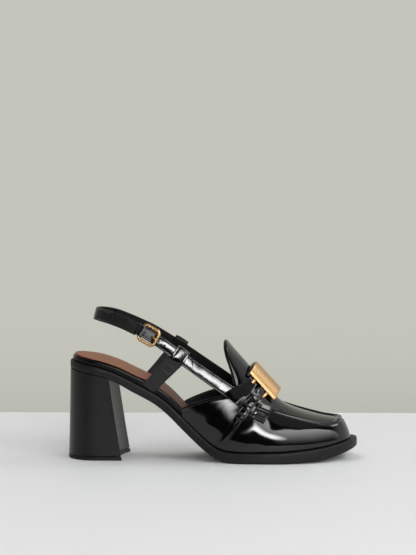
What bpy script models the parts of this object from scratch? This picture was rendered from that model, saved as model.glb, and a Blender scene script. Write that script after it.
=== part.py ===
"""Slingback loafer with a flared block heel: one right shoe, built as separate pieces.

Sizes in the tables are millimetres. +X points to the toe, +Z up, -Y is the outer (lateral) side.
The floor is Z = 0, and the heel tip and the ball of the sole both stand on it.
"""
import math
from collections import namedtuple

import bmesh
import bpy
from mathutils import Vector

MM = 0.001
GAP = 0.3
LATERAL = -1
MEDIAL = 1
SHARP_ANGLE = math.radians(35.0)
MERGE = 1e-7
SIDES = ((LATERAL, "lateral"), (MEDIAL, "medial"))

# Plan of the sole: a rounded heel seat, a waist from the width table and a soft square toe
HEEL_PIVOT = -93.0
HEEL_REACH = 25.5
HEEL_ROUNDNESS = 2.1
TOE_PIVOT = 45.0
TOE_REACH = 75.0
TOE_SHIFT = 3.0
TOE_ROUNDNESS = {LATERAL: 2.05, MEDIAL: 2.35}

SoleWidth = namedtuple("SoleWidth", "x lateral medial")
SOLE_WIDTHS = (
    SoleWidth(-93.0, 26.5, 26.5),
    SoleWidth(-75.0, 27.0, 26.0),
    SoleWidth(-50.0, 27.5, 24.5),
    SoleWidth(-25.0, 30.0, 24.0),
    SoleWidth(0.0, 35.5, 30.0),
    SoleWidth(20.0, 40.0, 38.0),
    SoleWidth(35.0, 41.8, 41.5),
    SoleWidth(45.0, 42.0, 42.0),
)

SoleProfile = namedtuple("SoleProfile", "x bottom thickness")
SOLE_PROFILE = (
    SoleProfile(-118.5, 75.6, 6.6),
    SoleProfile(-105.0, 73.0, 6.7),
    SoleProfile(-92.0, 70.0, 6.9),
    SoleProfile(-80.0, 65.3, 7.4),
    SoleProfile(-65.4, 57.3, 8.2),
    SoleProfile(-55.5, 52.2, 8.4),
    SoleProfile(-45.6, 46.3, 8.8),
    SoleProfile(-35.7, 38.1, 9.4),
    SoleProfile(-25.8, 28.3, 9.9),
    SoleProfile(-15.8, 18.6, 9.9),
    SoleProfile(-5.8, 9.8, 9.4),
    SoleProfile(4.2, 3.0, 9.0),
    SoleProfile(12.0, 0.6, 8.8),
    SoleProfile(24.0, 0.0, 8.8),
    SoleProfile(56.0, 0.0, 9.2),
    SoleProfile(75.0, 1.0, 9.6),
    SoleProfile(95.0, 3.4, 9.6),
    SoleProfile(107.0, 6.0, 9.2),
    SoleProfile(120.0, 10.4, 7.4),
)
SOLE_STATIONS = (-93, -84, -75, -65, -56, -47, -39, -31, -24, -17, -10, -3, 4, 12, 24, 40, 45)
HEEL_STEPS = 6
TOE_STEPS = 10
SOLE_CHAMFER = 0.8

# Wrapped footbed and leather sock: how far each stands in from the edge of the sole, and how thick
FootbedRow = namedtuple("FootbedRow", "x inset thickness")
FOOTBED = (
    FootbedRow(-120.0, 2.2, 4.2),
    FootbedRow(-95.0, 2.2, 4.6),
    FootbedRow(-50.0, 2.2, 6.0),
    FootbedRow(-36.0, 3.0, 6.2),
    FootbedRow(-27.0, 5.2, 6.0),
    FootbedRow(-8.0, 6.2, 4.0),
    FootbedRow(10.0, 6.4, 3.0),
    FootbedRow(45.0, 6.4, 3.0),
)
FOOTBED_TOE_INSET = 10.0
FOOTBED_CHAMFERS = (0.3, 0.9)
SOCK_INSET = 1.8
SOCK_THICKNESS = 1.2
SOCK_CHAMFERS = (0.2, 0.3)

# Block heel: plan of its foot and of its top
HeelPlan = namedtuple("HeelPlan", "back corner_lateral corner_medial half_width hollow")
HEEL_FOOT = HeelPlan(-120.0, -74.4, -70.3, 25.6, 5.0)
HEEL_TOP = HeelPlan(-118.4, -85.0, -80.4, 24.6, 4.0)
HEEL_FLARE = 1.35
HEEL_ROUND_START = -96.0
HEEL_PLAN_ROUNDNESS = 2.2
HEEL_TIP_THICKNESS = 3.0
HEEL_ROWS = 7
HEEL_SIDE_STEPS = 3
HEEL_BACK_STEPS = 7
HEEL_BREAST_STEPS = 6

# The last: a wall from the feather edge to a shoulder, which is the moccasin ridge at the toe,
# and a top that crowns between the two shoulders
FEATHER_INSET = 2.6
FEATHER_TOE_INSET = 5.0
FEATHER_LIFT = 0.35
RIDGE_REACH = 60.5
RIDGE_ROUNDNESS = 3.6
CREASE_INSET = 2.2
CREASE_DEPTH = 1.2
CREASE_LEVEL = 1.08
CROWN_LEVEL = 2.0
RELIEF_START = 44.0
RELIEF_FULL = 54.0

Shoulder = namedtuple("Shoulder", "x lateral medial")
SHOULDER_WIDTHS = (
    Shoulder(-30.0, 25.0, 23.0),
    Shoulder(0.0, 27.8, 28.0),
    Shoulder(20.0, 26.8, 27.0),
    Shoulder(36.0, 25.4, 25.0),
    Shoulder(45.0, 24.2, 22.4),
)

LastRow = namedtuple("LastRow", "x lateral medial crown")
LAST_HEIGHTS = (
    LastRow(-30.0, 84.0, 84.0, 128.0),
    LastRow(0.0, 74.0, 74.4, 109.0),
    LastRow(9.0, 70.5, 71.0, 101.4),
    LastRow(20.0, 65.0, 65.4, 88.9),
    LastRow(27.3, 60.6, 61.0, 81.0),
    LastRow(36.0, 54.5, 55.0, 70.8),
    LastRow(45.0, 46.8, 48.6, 61.0),
    LastRow(56.0, 41.6, 44.4, 48.7),
    LastRow(64.0, 39.2, 41.6, 43.2),
    LastRow(73.0, 36.8, 39.0, 40.1),
    LastRow(84.0, 34.2, 36.2, 37.1),
    LastRow(95.0, 32.4, 34.1, 34.8),
    LastRow(101.0, 32.8, 33.9, 34.2),
    LastRow(105.5, 34.3, 34.3, 33.1),
)

WallShape = namedtuple("WallShape", "x waist bulge lean drop")
WALL_SHAPES = (
    WallShape(-30.0, 0.30, 0.4, 0.50, 0.20),
    WallShape(3.0, 0.28, 1.3, 0.49, 0.19),
    WallShape(20.0, 0.24, 1.7, 0.52, 0.15),
    WallShape(36.0, 0.36, 2.0, 0.54, 0.12),
    WallShape(45.0, 0.43, 2.2, 0.48, 0.09),
    WallShape(58.0, 0.45, 2.2, 0.42, 0.07),
    WallShape(80.0, 0.45, 1.6, 0.38, 0.065),
    WallShape(98.0, 0.45, 0.2, 0.38, 0.05),
    WallShape(105.5, 0.45, -1.7, 0.38, 0.04),
)
TopShape = namedtuple("TopShape", "x rise shoulder brow")
TOP_SHAPES = (
    TopShape(-30.0, 3.2, 0.86, 0.72),
    TopShape(8.0, 3.2, 0.86, 0.72),
    TopShape(15.0, 2.7, 0.85, 0.68),
    TopShape(20.0, 1.9, 0.80, 0.62),
    TopShape(27.0, 1.1, 0.74, 0.52),
    TopShape(36.0, 0.75, 0.72, 0.45),
    TopShape(45.0, 0.55, 0.72, 0.45),
    TopShape(58.0, 0.42, 0.72, 0.45),
    TopShape(80.0, 0.33, 0.72, 0.45),
    TopShape(105.5, 0.15, 0.72, 0.45),
)

# The upper: wall, topline and the rows of its mesh
UPPER_WALL = 1.8
THROAT = 40.0
RimRow = namedtuple("RimRow", "x height")
RIM = (
    RimRow(-25.0, 44.0),
    RimRow(-22.0, 45.8),
    RimRow(-12.0, 50.0),
    RimRow(-2.0, 53.4),
    RimRow(9.9, 56.2),
    RimRow(17.4, 58.5),
    RimRow(22.0, 60.5),
    RimRow(30.0, 63.5),
    RimRow(36.0, 65.6),
    RimRow(40.0, 67.0),
)
UPPER_STATIONS = (-25, -22, -17, -12, -7, -2, 4, 10, 16, 22, 28, 33, 37, 40)
UPPER_LEVELS = (0, 0.1, 0.22, 0.36, 0.5, 0.64, 0.78, 0.9, 1.0, 1.08, 1.25, 1.5, 1.75, 2.0)
UPPER_TOE_STEPS = 11

# The tongue rises from the throat to a rounded top
TONGUE_THICKNESS = 3.8
TONGUE_SIDE = 20.3
TONGUE_TOP = 11.2
TONGUE_ROUNDING = 2.6
TONGUE_CORNER_HEIGHT = 84.5
TONGUE_SEAM = 0.6
TONGUE_COLUMNS = 12
TONGUE_ROWS = 7

# Panels that lie on the last, by place along the foot and height
PanelPoint = namedtuple("PanelPoint", "share x height")
PlaceRow = namedtuple("PlaceRow", "x place across")
SADDLE_THICKNESS = 1.3
SADDLE_REAR = (
    PanelPoint(0.0, 9.9, 57.0),
    PanelPoint(0.25, 17.4, 61.5),
    PanelPoint(0.45, 23.0, 64.5),
    PanelPoint(0.72, 30.6, 71.0),
    PanelPoint(1.0, 31.2, 99.0),
)
SADDLE_FRONT = (
    PanelPoint(0.0, 22.4, 46.2),
    PanelPoint(0.25, 26.6, 51.9),
    PanelPoint(0.45, 30.4, 56.6),
    PanelPoint(0.72, 36.4, 62.6),
    PanelPoint(1.0, 48.0, 99.0),
)
SADDLE_STEPS = 9
SADDLE_ROWS = 4

VampStrapRow = namedtuple("VampStrapRow", "x height width")
VAMP_STRAP = (
    VampStrapRow(9.0, 16.5, 6.6),
    VampStrapRow(15.6, 26.6, 6.8),
    VampStrapRow(21.4, 35.0, 7.4),
    VampStrapRow(25.9, 41.4, 8.0),
    VampStrapRow(31.6, 48.8, 8.0),
    VampStrapRow(37.4, 55.4, 8.0),
    VampStrapRow(41.6, 59.2, 8.0),
)
VAMP_STRAP_THICKNESS = 1.4
VAMP_STRAP_COLUMNS = 2
VAMP_STRAP_ROWS = 14

TabCorner = namedtuple("TabCorner", "x height")
TAB_REAR_TOP = TabCorner(39.0, 48.2)
TAB_FRONT_TOP = TabCorner(50.6, 43.6)
TAB_REAR_BOTTOM = TabCorner(30.8, 39.2)
TAB_FRONT_BOTTOM = TabCorner(43.0, 33.0)
TAB_LIFT = 0.6
TAB_EDGE = 1.2
TAB_RIDGE = 2.8
TAB_STEPS = 4

# The metal plate: a piece of a cylinder over the saddle, with two lugs on each side
PLATE_REAR = (36.3, 80.4)
PLATE_FRONT = (56.8, 57.8)
PLATE_RADIUS = 21.4
PLATE_SWEEP = 2.2
PLATE_HALF_WIDTH = 17.0
PLATE_THICKNESS = 1.5
PLATE_COLUMNS = 10
PLATE_SHARES = (0.0, 0.16, 0.34, 0.5, 0.66, 0.84, 1.0)
PLATE_LUG_ROWS = (1, 4)
PLATE_LUG_LENGTH = 4.0
PLATE_LUG_ANGLE = math.radians(36.0)

# The sling: one line round the heel, the lateral half given, the medial half its mirror
SlingPoint = namedtuple("SlingPoint", "x half_width height medial_drop")
SLING_LINE = (
    SlingPoint(14.0, 31.3, 60.2, 0.0),
    SlingPoint(8.0, 31.6, 64.4, 0.2),
    SlingPoint(-9.0, 32.3, 76.2, 0.8),
    SlingPoint(-26.3, 32.5, 88.2, 1.3),
    SlingPoint(-38.5, 31.9, 96.8, 2.2),
    SlingPoint(-50.4, 30.4, 104.4, 2.5),
    SlingPoint(-60.6, 28.2, 109.4, 2.3),
    SlingPoint(-72.0, 24.8, 114.4, 2.0),
    SlingPoint(-82.9, 19.6, 117.9, 1.0),
    SlingPoint(-92.2, 11.2, 119.6, 0.3),
    SlingPoint(-97.3, 0.0, 120.1, 0.0),
)
SLING_THICKNESS = 2.0
SLING_FRONT_WIDTH = 9.0
SLING_BACK_WIDTH = 10.6
SLING_LEAN = 0.26
SLING_SLANT = 0.44
SLING_SLANT_FADE = 8.0
SLING_STEP = 4.5
BUCKLE_X = -51.2
ELASTIC_FRONT_X = -62.2
ELASTIC_REAR_X = -82.7
ELASTIC_THICKNESS = 1.8

BUCKLE_LENGTH = 16.6
BUCKLE_HEIGHT = 16.0
BUCKLE_BAR = 1.2
BUCKLE_CORNER = 1.8
BUCKLE_CORNER_STEPS = 4
BUCKLE_SIDES = 8
PRONG_RADIUS = 0.75
PRONG_SIDES = 8
PRONG_MIDDLE_LIFT = 0.6
PRONG_REST = 1.0
BUCKLE_TAB_LAYER = 1.3
BUCKLE_TAB_WIDTH = 9.6
BUCKLE_TAB_ARC_STEPS = 10
BUCKLE_TAB_ARC_START = math.radians(55.0)
BUCKLE_TAB_ARC = math.radians(235.0)

# Side straps: from the ledge of the sole up the inside of the sling, over it and down outside
SIDE_STRAP_X = {LATERAL: -26.3, MEDIAL: -29.3}
SIDE_STRAP_FOOT_X = {LATERAL: -52.5, MEDIAL: -54.0}
SIDE_STRAP_WIDTH = 12.0
SIDE_STRAP_LAYER = 1.4
SIDE_STRAP_FLAP = 21.0
SIDE_STRAP_FOOT_LIFT = 1.3
SIDE_STRAP_FOOT_OUT = {LATERAL: 0.0, MEDIAL: 0.15}
SIDE_STRAP_BEND = 3.5
SIDE_STRAP_ARC_STEPS = 6

Finish = namedtuple("Finish", "colour roughness metallic")
PATENT = Finish((0.012, 0.012, 0.013), 0.12, 0.0)
SOLE_BLACK = Finish((0.020, 0.019, 0.021), 0.55, 0.0)
HEEL_BLACK = Finish((0.015, 0.014, 0.015), 0.30, 0.0)
TAN_LEATHER = Finish((0.24, 0.10, 0.045), 0.55, 0.0)
ELASTIC_BLACK = Finish((0.016, 0.016, 0.017), 0.80, 0.0)
GOLD = Finish((0.72, 0.46, 0.20), 0.25, 1.0)


def smooth_curve(rows, column):
    """Return a monotone cubic through one column of a table whose first column is x."""
    xs = [row.x for row in rows]
    ys = [getattr(row, column) for row in rows]
    steps = [xs[i + 1] - xs[i] for i in range(len(xs) - 1)]
    slopes = [(ys[i + 1] - ys[i]) / steps[i] for i in range(len(steps))]
    tangents = [slopes[0]]
    for i in range(1, len(slopes)):
        before, after = slopes[i - 1], slopes[i]
        if before * after <= 0:
            tangents.append(0.0)
            continue
        heavy = 2 * steps[i] + steps[i - 1]
        light = steps[i] + 2 * steps[i - 1]
        tangents.append((heavy + light) / (heavy / before + light / after))
    tangents.append(slopes[-1])

    def value(x):
        x = min(max(x, xs[0]), xs[-1])
        i = 0
        while i < len(steps) - 1 and x > xs[i + 1]:
            i += 1
        t = (x - xs[i]) / steps[i]
        rise = ys[i + 1] - ys[i]
        start = tangents[i] * steps[i]
        end = tangents[i + 1] * steps[i]
        return ys[i] + start * t + (3 * rise - 2 * start - end) * t * t + (start + end - 2 * rise) * t ** 3

    return value


SIDE_COLUMN = {LATERAL: "lateral", MEDIAL: "medial"}
sole_bottom = smooth_curve(SOLE_PROFILE, "bottom")
sole_thickness = smooth_curve(SOLE_PROFILE, "thickness")
sole_width = {side: smooth_curve(SOLE_WIDTHS, SIDE_COLUMN[side]) for side in SIDE_COLUMN}
footbed_inset = smooth_curve(FOOTBED, "inset")
footbed_thickness = smooth_curve(FOOTBED, "thickness")
shoulder_width = {side: smooth_curve(SHOULDER_WIDTHS, SIDE_COLUMN[side]) for side in SIDE_COLUMN}
shoulder_height = {side: smooth_curve(LAST_HEIGHTS, SIDE_COLUMN[side]) for side in SIDE_COLUMN}
crown_height = smooth_curve(LAST_HEIGHTS, "crown")
wall_waist = smooth_curve(WALL_SHAPES, "waist")
wall_bulge = smooth_curve(WALL_SHAPES, "bulge")
wall_lean = smooth_curve(WALL_SHAPES, "lean")
wall_drop = smooth_curve(WALL_SHAPES, "drop")
top_rise = smooth_curve(TOP_SHAPES, "rise")
top_shoulder = smooth_curve(TOP_SHAPES, "shoulder")
top_brow = smooth_curve(TOP_SHAPES, "brow")
rim_height = smooth_curve(RIM, "height")


def sole_top(x):
    return sole_bottom(x) + sole_thickness(x)


def footbed_top(x):
    return sole_top(x) + GAP + footbed_thickness(x)


def ellipse_share(reach, roundness):
    """Return the half-width share of a superellipse at a share of its reach."""
    return max(0.0, 1.0 - min(reach, 1.0) ** roundness) ** (1.0 / roundness)


def toe_shift(x):
    """Return how far the toe's middle line swings to the inner side."""
    return TOE_SHIFT * (max(0.0, x - TOE_PIVOT) / TOE_REACH) ** 2


def bezier(points, t):
    a, b, c, d = points
    s = 1.0 - t
    return a * s ** 3 + b * (3 * s * s * t) + c * (3 * s * t * t) + d * t ** 3


# Plan stations: a zone of the sole and a place in it, so that both sides share their X


def plan_stations():
    quarter = math.pi / 2
    stations = [("heel", math.cos(quarter * i / HEEL_STEPS)) for i in range(HEEL_STEPS)]
    stations += [("waist", float(x)) for x in SOLE_STATIONS]
    stations += [("toe", math.sin(quarter * i / TOE_STEPS)) for i in range(1, TOE_STEPS + 1)]
    return stations


def plan_point(station, side, inset, end_inset):
    """Return X and Y on the sole's outline, moved in from the edge."""
    zone, place = station
    if zone == "heel":
        half = sole_width[side](HEEL_PIVOT) - inset
        x = HEEL_PIVOT - (HEEL_REACH - end_inset) * place
        return x, side * half * ellipse_share(place, HEEL_ROUNDNESS)
    if zone == "toe":
        half = sole_width[side](TOE_PIVOT) - inset
        x = TOE_PIVOT + (TOE_REACH - end_inset) * place
        return x, toe_shift(x) + side * half * ellipse_share(place, TOE_ROUNDNESS[side])
    return place, side * (sole_width[side](place) - inset)


# The last


def relief(u):
    t = min(max((u - RELIEF_START) / (RELIEF_FULL - RELIEF_START), 0.0), 1.0)
    return t * t * (3 - 2 * t)


def last_sections(u, side):
    """Return the control points of the wall and of the top at one station of the last."""
    share = max(0.0, u - TOE_PIVOT) / RIDGE_REACH
    station = ("toe", share) if u > TOE_PIVOT else ("waist", u)
    fx, fy = plan_point(station, side, FEATHER_INSET, FEATHER_TOE_INSET)
    feather = Vector((fx, fy, sole_top(fx) + FEATHER_LIFT))
    half = shoulder_width[side](u) * ellipse_share(share, RIDGE_ROUNDNESS)
    ridge = Vector((u, toe_shift(u) + side * half, shoulder_height[side](u)))
    out = Vector((feather.x - ridge.x, feather.y - ridge.y, 0.0))
    height = ridge.z - feather.z
    low = feather + out.normalized() * wall_bulge(u)
    low.z = feather.z + wall_waist(u) * height
    high = ridge + out * wall_lean(u)
    high.z = ridge.z - wall_drop(u) * height
    inner_share = (RIDGE_REACH - CREASE_INSET) / RIDGE_REACH
    crease_x = u if u <= TOE_PIVOT else TOE_PIVOT + (u - TOE_PIVOT) * inner_share
    middle = toe_shift(crease_x)
    width = max(0.0, shoulder_width[side](u) - CREASE_INSET) * ellipse_share(share, RIDGE_ROUNDNESS)
    rise = top_rise(u)
    crease_z = ridge.z + (1.0 - relief(u)) * rise * CREASE_INSET - relief(u) * CREASE_DEPTH
    crown_z = crown_height(u)
    crease = Vector((crease_x, middle + side * width, crease_z))
    share_out = top_shoulder(u)
    shoulder_z = min(crease_z + rise * (1.0 - share_out) * width, crown_z)
    shoulder = Vector((crease_x, middle + side * width * share_out, shoulder_z))
    brow = Vector((crease_x, middle + side * width * top_brow(u), crown_z))
    crown = Vector((crease_x, middle, crown_z))
    return (feather, low, high, ridge), (crease, shoulder, brow, crown)


def last_point(u, across):
    """Return a point of the last; across runs from -2 (lateral feather) over 0 (crown) to 2."""
    side = LATERAL if across < 0 else MEDIAL
    level = CROWN_LEVEL - abs(across)
    wall, top = last_sections(u, side)
    if level <= 1.0:
        return bezier(wall, level)
    if level <= CREASE_LEVEL:
        return wall[3].lerp(top[0], (level - 1.0) / (CREASE_LEVEL - 1.0))
    return bezier(top, (level - CREASE_LEVEL) / (CROWN_LEVEL - CREASE_LEVEL))


def last_normal(u, across):
    du, da = 0.4, 0.02
    along = last_point(u + du, across) - last_point(u - du, across)
    over = last_point(u, across + da) - last_point(u, across - da)
    return along.cross(over).normalized()


def offset_point(u, across, offset):
    return last_point(u, across) + last_normal(u, across) * offset


def across_at_height(u, side, height):
    """Return the across value where one side of the last reaches a height."""
    low, high = 0.0, CROWN_LEVEL
    if height >= crown_height(u):
        return 0.0
    for _ in range(40):
        middle = (low + high) / 2
        if last_point(u, side * (CROWN_LEVEL - middle)).z < height:
            low = middle
        else:
            high = middle
    return side * (CROWN_LEVEL - low)


# Mesh helpers


def finish_material(name, finish):
    material = bpy.data.materials.new(name)
    material.use_nodes = True
    shader = material.node_tree.nodes["Principled BSDF"]
    shader.inputs["Base Color"].default_value = (*finish.colour, 1.0)
    shader.inputs["Roughness"].default_value = finish.roughness
    shader.inputs["Metallic"].default_value = finish.metallic
    return material


def add_piece(collection, name, verts, faces, finish, closed=True):
    """Make one named object from points in millimetres, with doubled points merged."""
    mesh = bpy.data.meshes.new(name)
    bm = bmesh.new()
    made = [bm.verts.new(Vector(v) * MM) for v in verts]
    for face in faces:
        bm.faces.new([made[i] for i in face])
    bmesh.ops.remove_doubles(bm, verts=bm.verts, dist=MERGE)
    bmesh.ops.dissolve_degenerate(bm, edges=bm.edges, dist=MERGE)
    if closed:
        bmesh.ops.recalc_face_normals(bm, faces=bm.faces)
    bm.to_mesh(mesh)
    bm.free()
    mesh.shade_smooth()
    mesh.set_sharp_from_angle(angle=SHARP_ANGLE)
    mesh.materials.append(finish_material(name, finish))
    piece = bpy.data.objects.new(name, mesh)
    collection.objects.link(piece)
    return piece


def grid_faces(rows, columns, start=0, flip=False):
    faces = []
    for i in range(rows - 1):
        for j in range(columns - 1):
            a = start + i * columns + j
            quad = [a, a + columns, a + columns + 1, a + 1]
            faces.append(quad[::-1] if flip else quad)
    return faces


def add_thickness(piece, thickness, outward):
    """Give an open sheet its thickness, outwards or inwards from the sheet."""
    solid = piece.modifiers.new("thickness", "SOLIDIFY")
    solid.thickness = thickness * MM
    solid.offset = 1.0 if outward else -1.0
    solid.use_quality_normals = True


def sheet(collection, name, grid, finish, thickness, outward=True):
    verts = [point for row in grid for point in row]
    faces = grid_faces(len(grid), len(grid[0]))
    piece = add_piece(collection, name, verts, faces, finish, closed=False)
    add_thickness(piece, thickness, outward)
    return piece


def loft_rings(collection, name, rings, finish, closed_path=False):
    """Skin a row of equal rings; an open row is capped, a closed path joins its ends."""
    count = len(rings[0])
    verts = [point for ring in rings for point in ring]
    faces = []
    spans = len(rings) if closed_path else len(rings) - 1
    for i in range(spans):
        first, second = i * count, ((i + 1) % len(rings)) * count
        for j in range(count):
            k = (j + 1) % count
            faces.append((first + j, first + k, second + k, second + j))
    if not closed_path:
        faces.append(tuple(range(count)))
        faces.append(tuple(range(len(verts) - count, len(verts))))
    return add_piece(collection, name, verts, faces, finish)


# Sole, footbed and sock


def slab(collection, name, finish, inset, end_insets, bottom, top, chamfers):
    """Make a plate of the sole's plan between two heights; each cap is strips across the foot."""
    stations = plan_stations()
    heel_end, toe_end = end_insets
    low_chamfer, high_chamfer = chamfers
    levels = ((low_chamfer, bottom, 0.0), (0.0, bottom, low_chamfer),
              (0.0, top, -high_chamfer), (high_chamfer, top, 0.0))
    verts = []
    loops = []
    for chamfer, height, lift in levels:
        loop = {}
        for side, _ in SIDES:
            ids = []
            for station in stations:
                end_inset = heel_end if station[0] == "heel" else toe_end
                place_x = plan_point(station, side, 0.0, end_inset)[0]
                x, y = plan_point(station, side, inset(place_x) + chamfer, end_inset + chamfer)
                ids.append(len(verts))
                verts.append((x, y, height(x) + lift))
            loop[side] = ids
        loops.append(loop)
    faces = []
    last = len(stations) - 1
    for lower, upper in zip(loops, loops[1:]):
        for side, _ in SIDES:
            for i in range(last):
                faces.append((lower[side][i], lower[side][i + 1], upper[side][i + 1], upper[side][i]))
    for loop in (loops[0], loops[-1]):
        for i in range(last):
            faces.append((loop[LATERAL][i], loop[LATERAL][i + 1], loop[MEDIAL][i + 1], loop[MEDIAL][i]))
    return add_piece(collection, name, verts, faces, finish)


def make_outsole(collection):
    slab(collection, "outsole", SOLE_BLACK, lambda x: 0.0, (0.0, 0.0), sole_bottom, sole_top,
         (SOLE_CHAMFER, SOLE_CHAMFER))


def make_footbed(collection):
    slab(collection, "insole_board", PATENT, footbed_inset, (FOOTBED[0].inset, FOOTBED_TOE_INSET),
         lambda x: sole_top(x) + GAP, footbed_top, FOOTBED_CHAMFERS)


def make_sock(collection):
    slab(collection, "insole_sock", TAN_LEATHER, lambda x: footbed_inset(x) + SOCK_INSET,
         (FOOTBED[0].inset + SOCK_INSET, FOOTBED_TOE_INSET + SOCK_INSET),
         lambda x: footbed_top(x) + GAP, lambda x: footbed_top(x) + GAP + SOCK_THICKNESS,
         SOCK_CHAMFERS)


# Block heel


def heel_half(plan, side):
    """Return one side of the heel's plan, from the back point to the breast corner."""
    corner = plan.corner_lateral if side == LATERAL else plan.corner_medial
    points = []
    for i in range(HEEL_BACK_STEPS):
        reach = math.cos(math.pi / 2 * i / HEEL_BACK_STEPS)
        x = HEEL_ROUND_START - (HEEL_ROUND_START - plan.back) * reach
        points.append((x, side * plan.half_width * ellipse_share(reach, HEEL_PLAN_ROUNDNESS)))
    for i in range(HEEL_SIDE_STEPS + 1):
        x = HEEL_ROUND_START + (corner - HEEL_ROUND_START) * i / HEEL_SIDE_STEPS
        points.append((x, side * plan.half_width))
    return points


def heel_breast(plan):
    """Return the hollow front of the heel's plan, between its two corners."""
    points = []
    for i in range(1, HEEL_BREAST_STEPS):
        t = i / HEEL_BREAST_STEPS
        x = plan.corner_lateral + (plan.corner_medial - plan.corner_lateral) * t
        points.append((x - plan.hollow * 4 * t * (1 - t), plan.half_width * (2 * t - 1)))
    return points


def heel_ring(share, height):
    """Return one level of the heel, from the foot (share 0) to the top (share 1).

    The back flares in a curve, the breast runs straight.
    """
    reach = HEEL_FOOT.corner_lateral - HEEL_FOOT.back
    outlines = []
    for plan in (HEEL_FOOT, HEEL_TOP):
        back = heel_half(plan, LATERAL)
        front = heel_half(plan, MEDIAL)[:0:-1]
        outlines.append(back + heel_breast(plan) + front)
    ring = []
    for foot, top in zip(*outlines):
        front = min(1.0, (foot[0] - HEEL_FOOT.back) / reach)
        blend = (1.0 - share) ** (HEEL_FLARE + (1.0 - HEEL_FLARE) * front)
        x = top[0] + (foot[0] - top[0]) * blend
        y = top[1] + (foot[1] - top[1]) * blend
        ring.append((x, y, height(x)))
    return ring


def heel_solid(collection, name, rings, finish):
    """Skin the heel's rings; strips from side to side and one hollow front face cap them."""
    count = len(rings[0])
    strips = HEEL_BACK_STEPS + 1
    verts = [point for ring in rings for point in ring]
    faces = []
    for i in range(len(rings) - 1):
        for j in range(count):
            k = (j + 1) % count
            faces.append((i * count + j, i * count + k, (i + 1) * count + k, (i + 1) * count + j))
    for start in (0, len(verts) - count):
        for j in range(strips):
            left, right = start + j, start + (count - j) % count
            next_left, next_right = start + j + 1, start + count - j - 1
            strip = [left, next_left, next_right]
            if right != left:
                strip.append(right)
            faces.append(strip)
        faces.append([start + j for j in range(strips, count - strips + 1)])
    return add_piece(collection, name, verts, faces, finish)


def make_heel(collection):
    floor = HEEL_TIP_THICKNESS + GAP
    tip_share = HEEL_TIP_THICKNESS / sole_bottom(HEEL_TOP.back)
    start = floor / sole_bottom(HEEL_TOP.back)
    heel_solid(collection, "heel_tip", [heel_ring(0.0, lambda x: 0.0),
               heel_ring(tip_share, lambda x: HEEL_TIP_THICKNESS)], SOLE_BLACK)
    rings = []
    for i in range(HEEL_ROWS):
        t = i / (HEEL_ROWS - 1)

        def height(x, t=t):
            return floor + (sole_bottom(x) - GAP - floor) * t

        rings.append(heel_ring(start + (1.0 - start) * t, height))
    heel_solid(collection, "heel", rings, HEEL_BLACK)


# Upper, tongue and what lies on them


def upper_half(side):
    """Return the rows of one half of the upper, from the feather edge to the rim."""
    stations = [float(x) for x in UPPER_STATIONS] + [TOE_PIVOT]
    for i in range(1, UPPER_TOE_STEPS + 1):
        stations.append(TOE_PIVOT + RIDGE_REACH * math.sin(math.pi / 2 * i / UPPER_TOE_STEPS))
    rows = []
    for u in stations:
        rim = 0.0 if u >= THROAT else abs(across_at_height(u, side, rim_height(u)))
        top = (CROWN_LEVEL - rim) / CROWN_LEVEL
        rows.append([last_point(u, side * (CROWN_LEVEL - level * top)) for level in UPPER_LEVELS])
    return rows


def make_upper(collection):
    verts = []
    faces = []
    for side, _ in SIDES:
        rows = upper_half(side)
        faces += grid_faces(len(rows), len(rows[0]), len(verts), flip=side == MEDIAL)
        verts += [point for row in rows for point in row]
    piece = add_piece(collection, "upper", verts, faces, PATENT, closed=False)
    add_thickness(piece, UPPER_WALL, outward=False)


def make_tongue(collection):
    grid = []
    for i in range(TONGUE_ROWS):
        t = i / (TONGUE_ROWS - 1)
        row = []
        for j in range(TONGUE_COLUMNS + 1):
            place = 2.0 * j / TONGUE_COLUMNS - 1.0
            side = LATERAL if place < 0 else MEDIAL
            middle = 1.0 - abs(place)
            base_u = TONGUE_SIDE + (THROAT - TONGUE_SEAM - TONGUE_SIDE) * middle
            base = across_at_height(base_u, side, rim_height(base_u + TONGUE_SEAM) + TONGUE_SEAM)
            top_u = TONGUE_TOP + TONGUE_ROUNDING * abs(place) ** 4
            corner_u = TONGUE_TOP + TONGUE_ROUNDING
            top = across_at_height(corner_u, side, TONGUE_CORNER_HEIGHT) * abs(place)
            row.append(last_point(top_u + (base_u - top_u) * t, top + (base - top) * t))
        grid.append(row)
    sheet(collection, "tongue", grid, PATENT, TONGUE_THICKNESS, outward=False)


def panel_curve(points, side):
    """Return the place and across value along one edge of a panel, from its foot to the crown."""
    rows = [PlaceRow(p.share, p.x, across_at_height(p.x, side, p.height)) for p in points]
    return smooth_curve(rows, "place"), smooth_curve(rows, "across")


def make_saddle(collection):
    shares = [i / SADDLE_STEPS for i in range(SADDLE_STEPS + 1)]
    lines = [(LATERAL, share) for share in shares] + [(MEDIAL, share) for share in shares[-2::-1]]
    edges = {side: (panel_curve(SADDLE_REAR, side), panel_curve(SADDLE_FRONT, side)) for side, _ in SIDES}
    grid = []
    for row in range(SADDLE_ROWS + 1):
        t = row / SADDLE_ROWS
        line = []
        for side, share in lines:
            (rear_x, rear_across), (front_x, front_across) = edges[side]
            u = rear_x(share) + (front_x(share) - rear_x(share)) * t
            across = rear_across(share) + (front_across(share) - rear_across(share)) * t
            line.append(offset_point(u, across, GAP))
        grid.append(line)
    sheet(collection, "saddle", grid, PATENT, SADDLE_THICKNESS)


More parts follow.
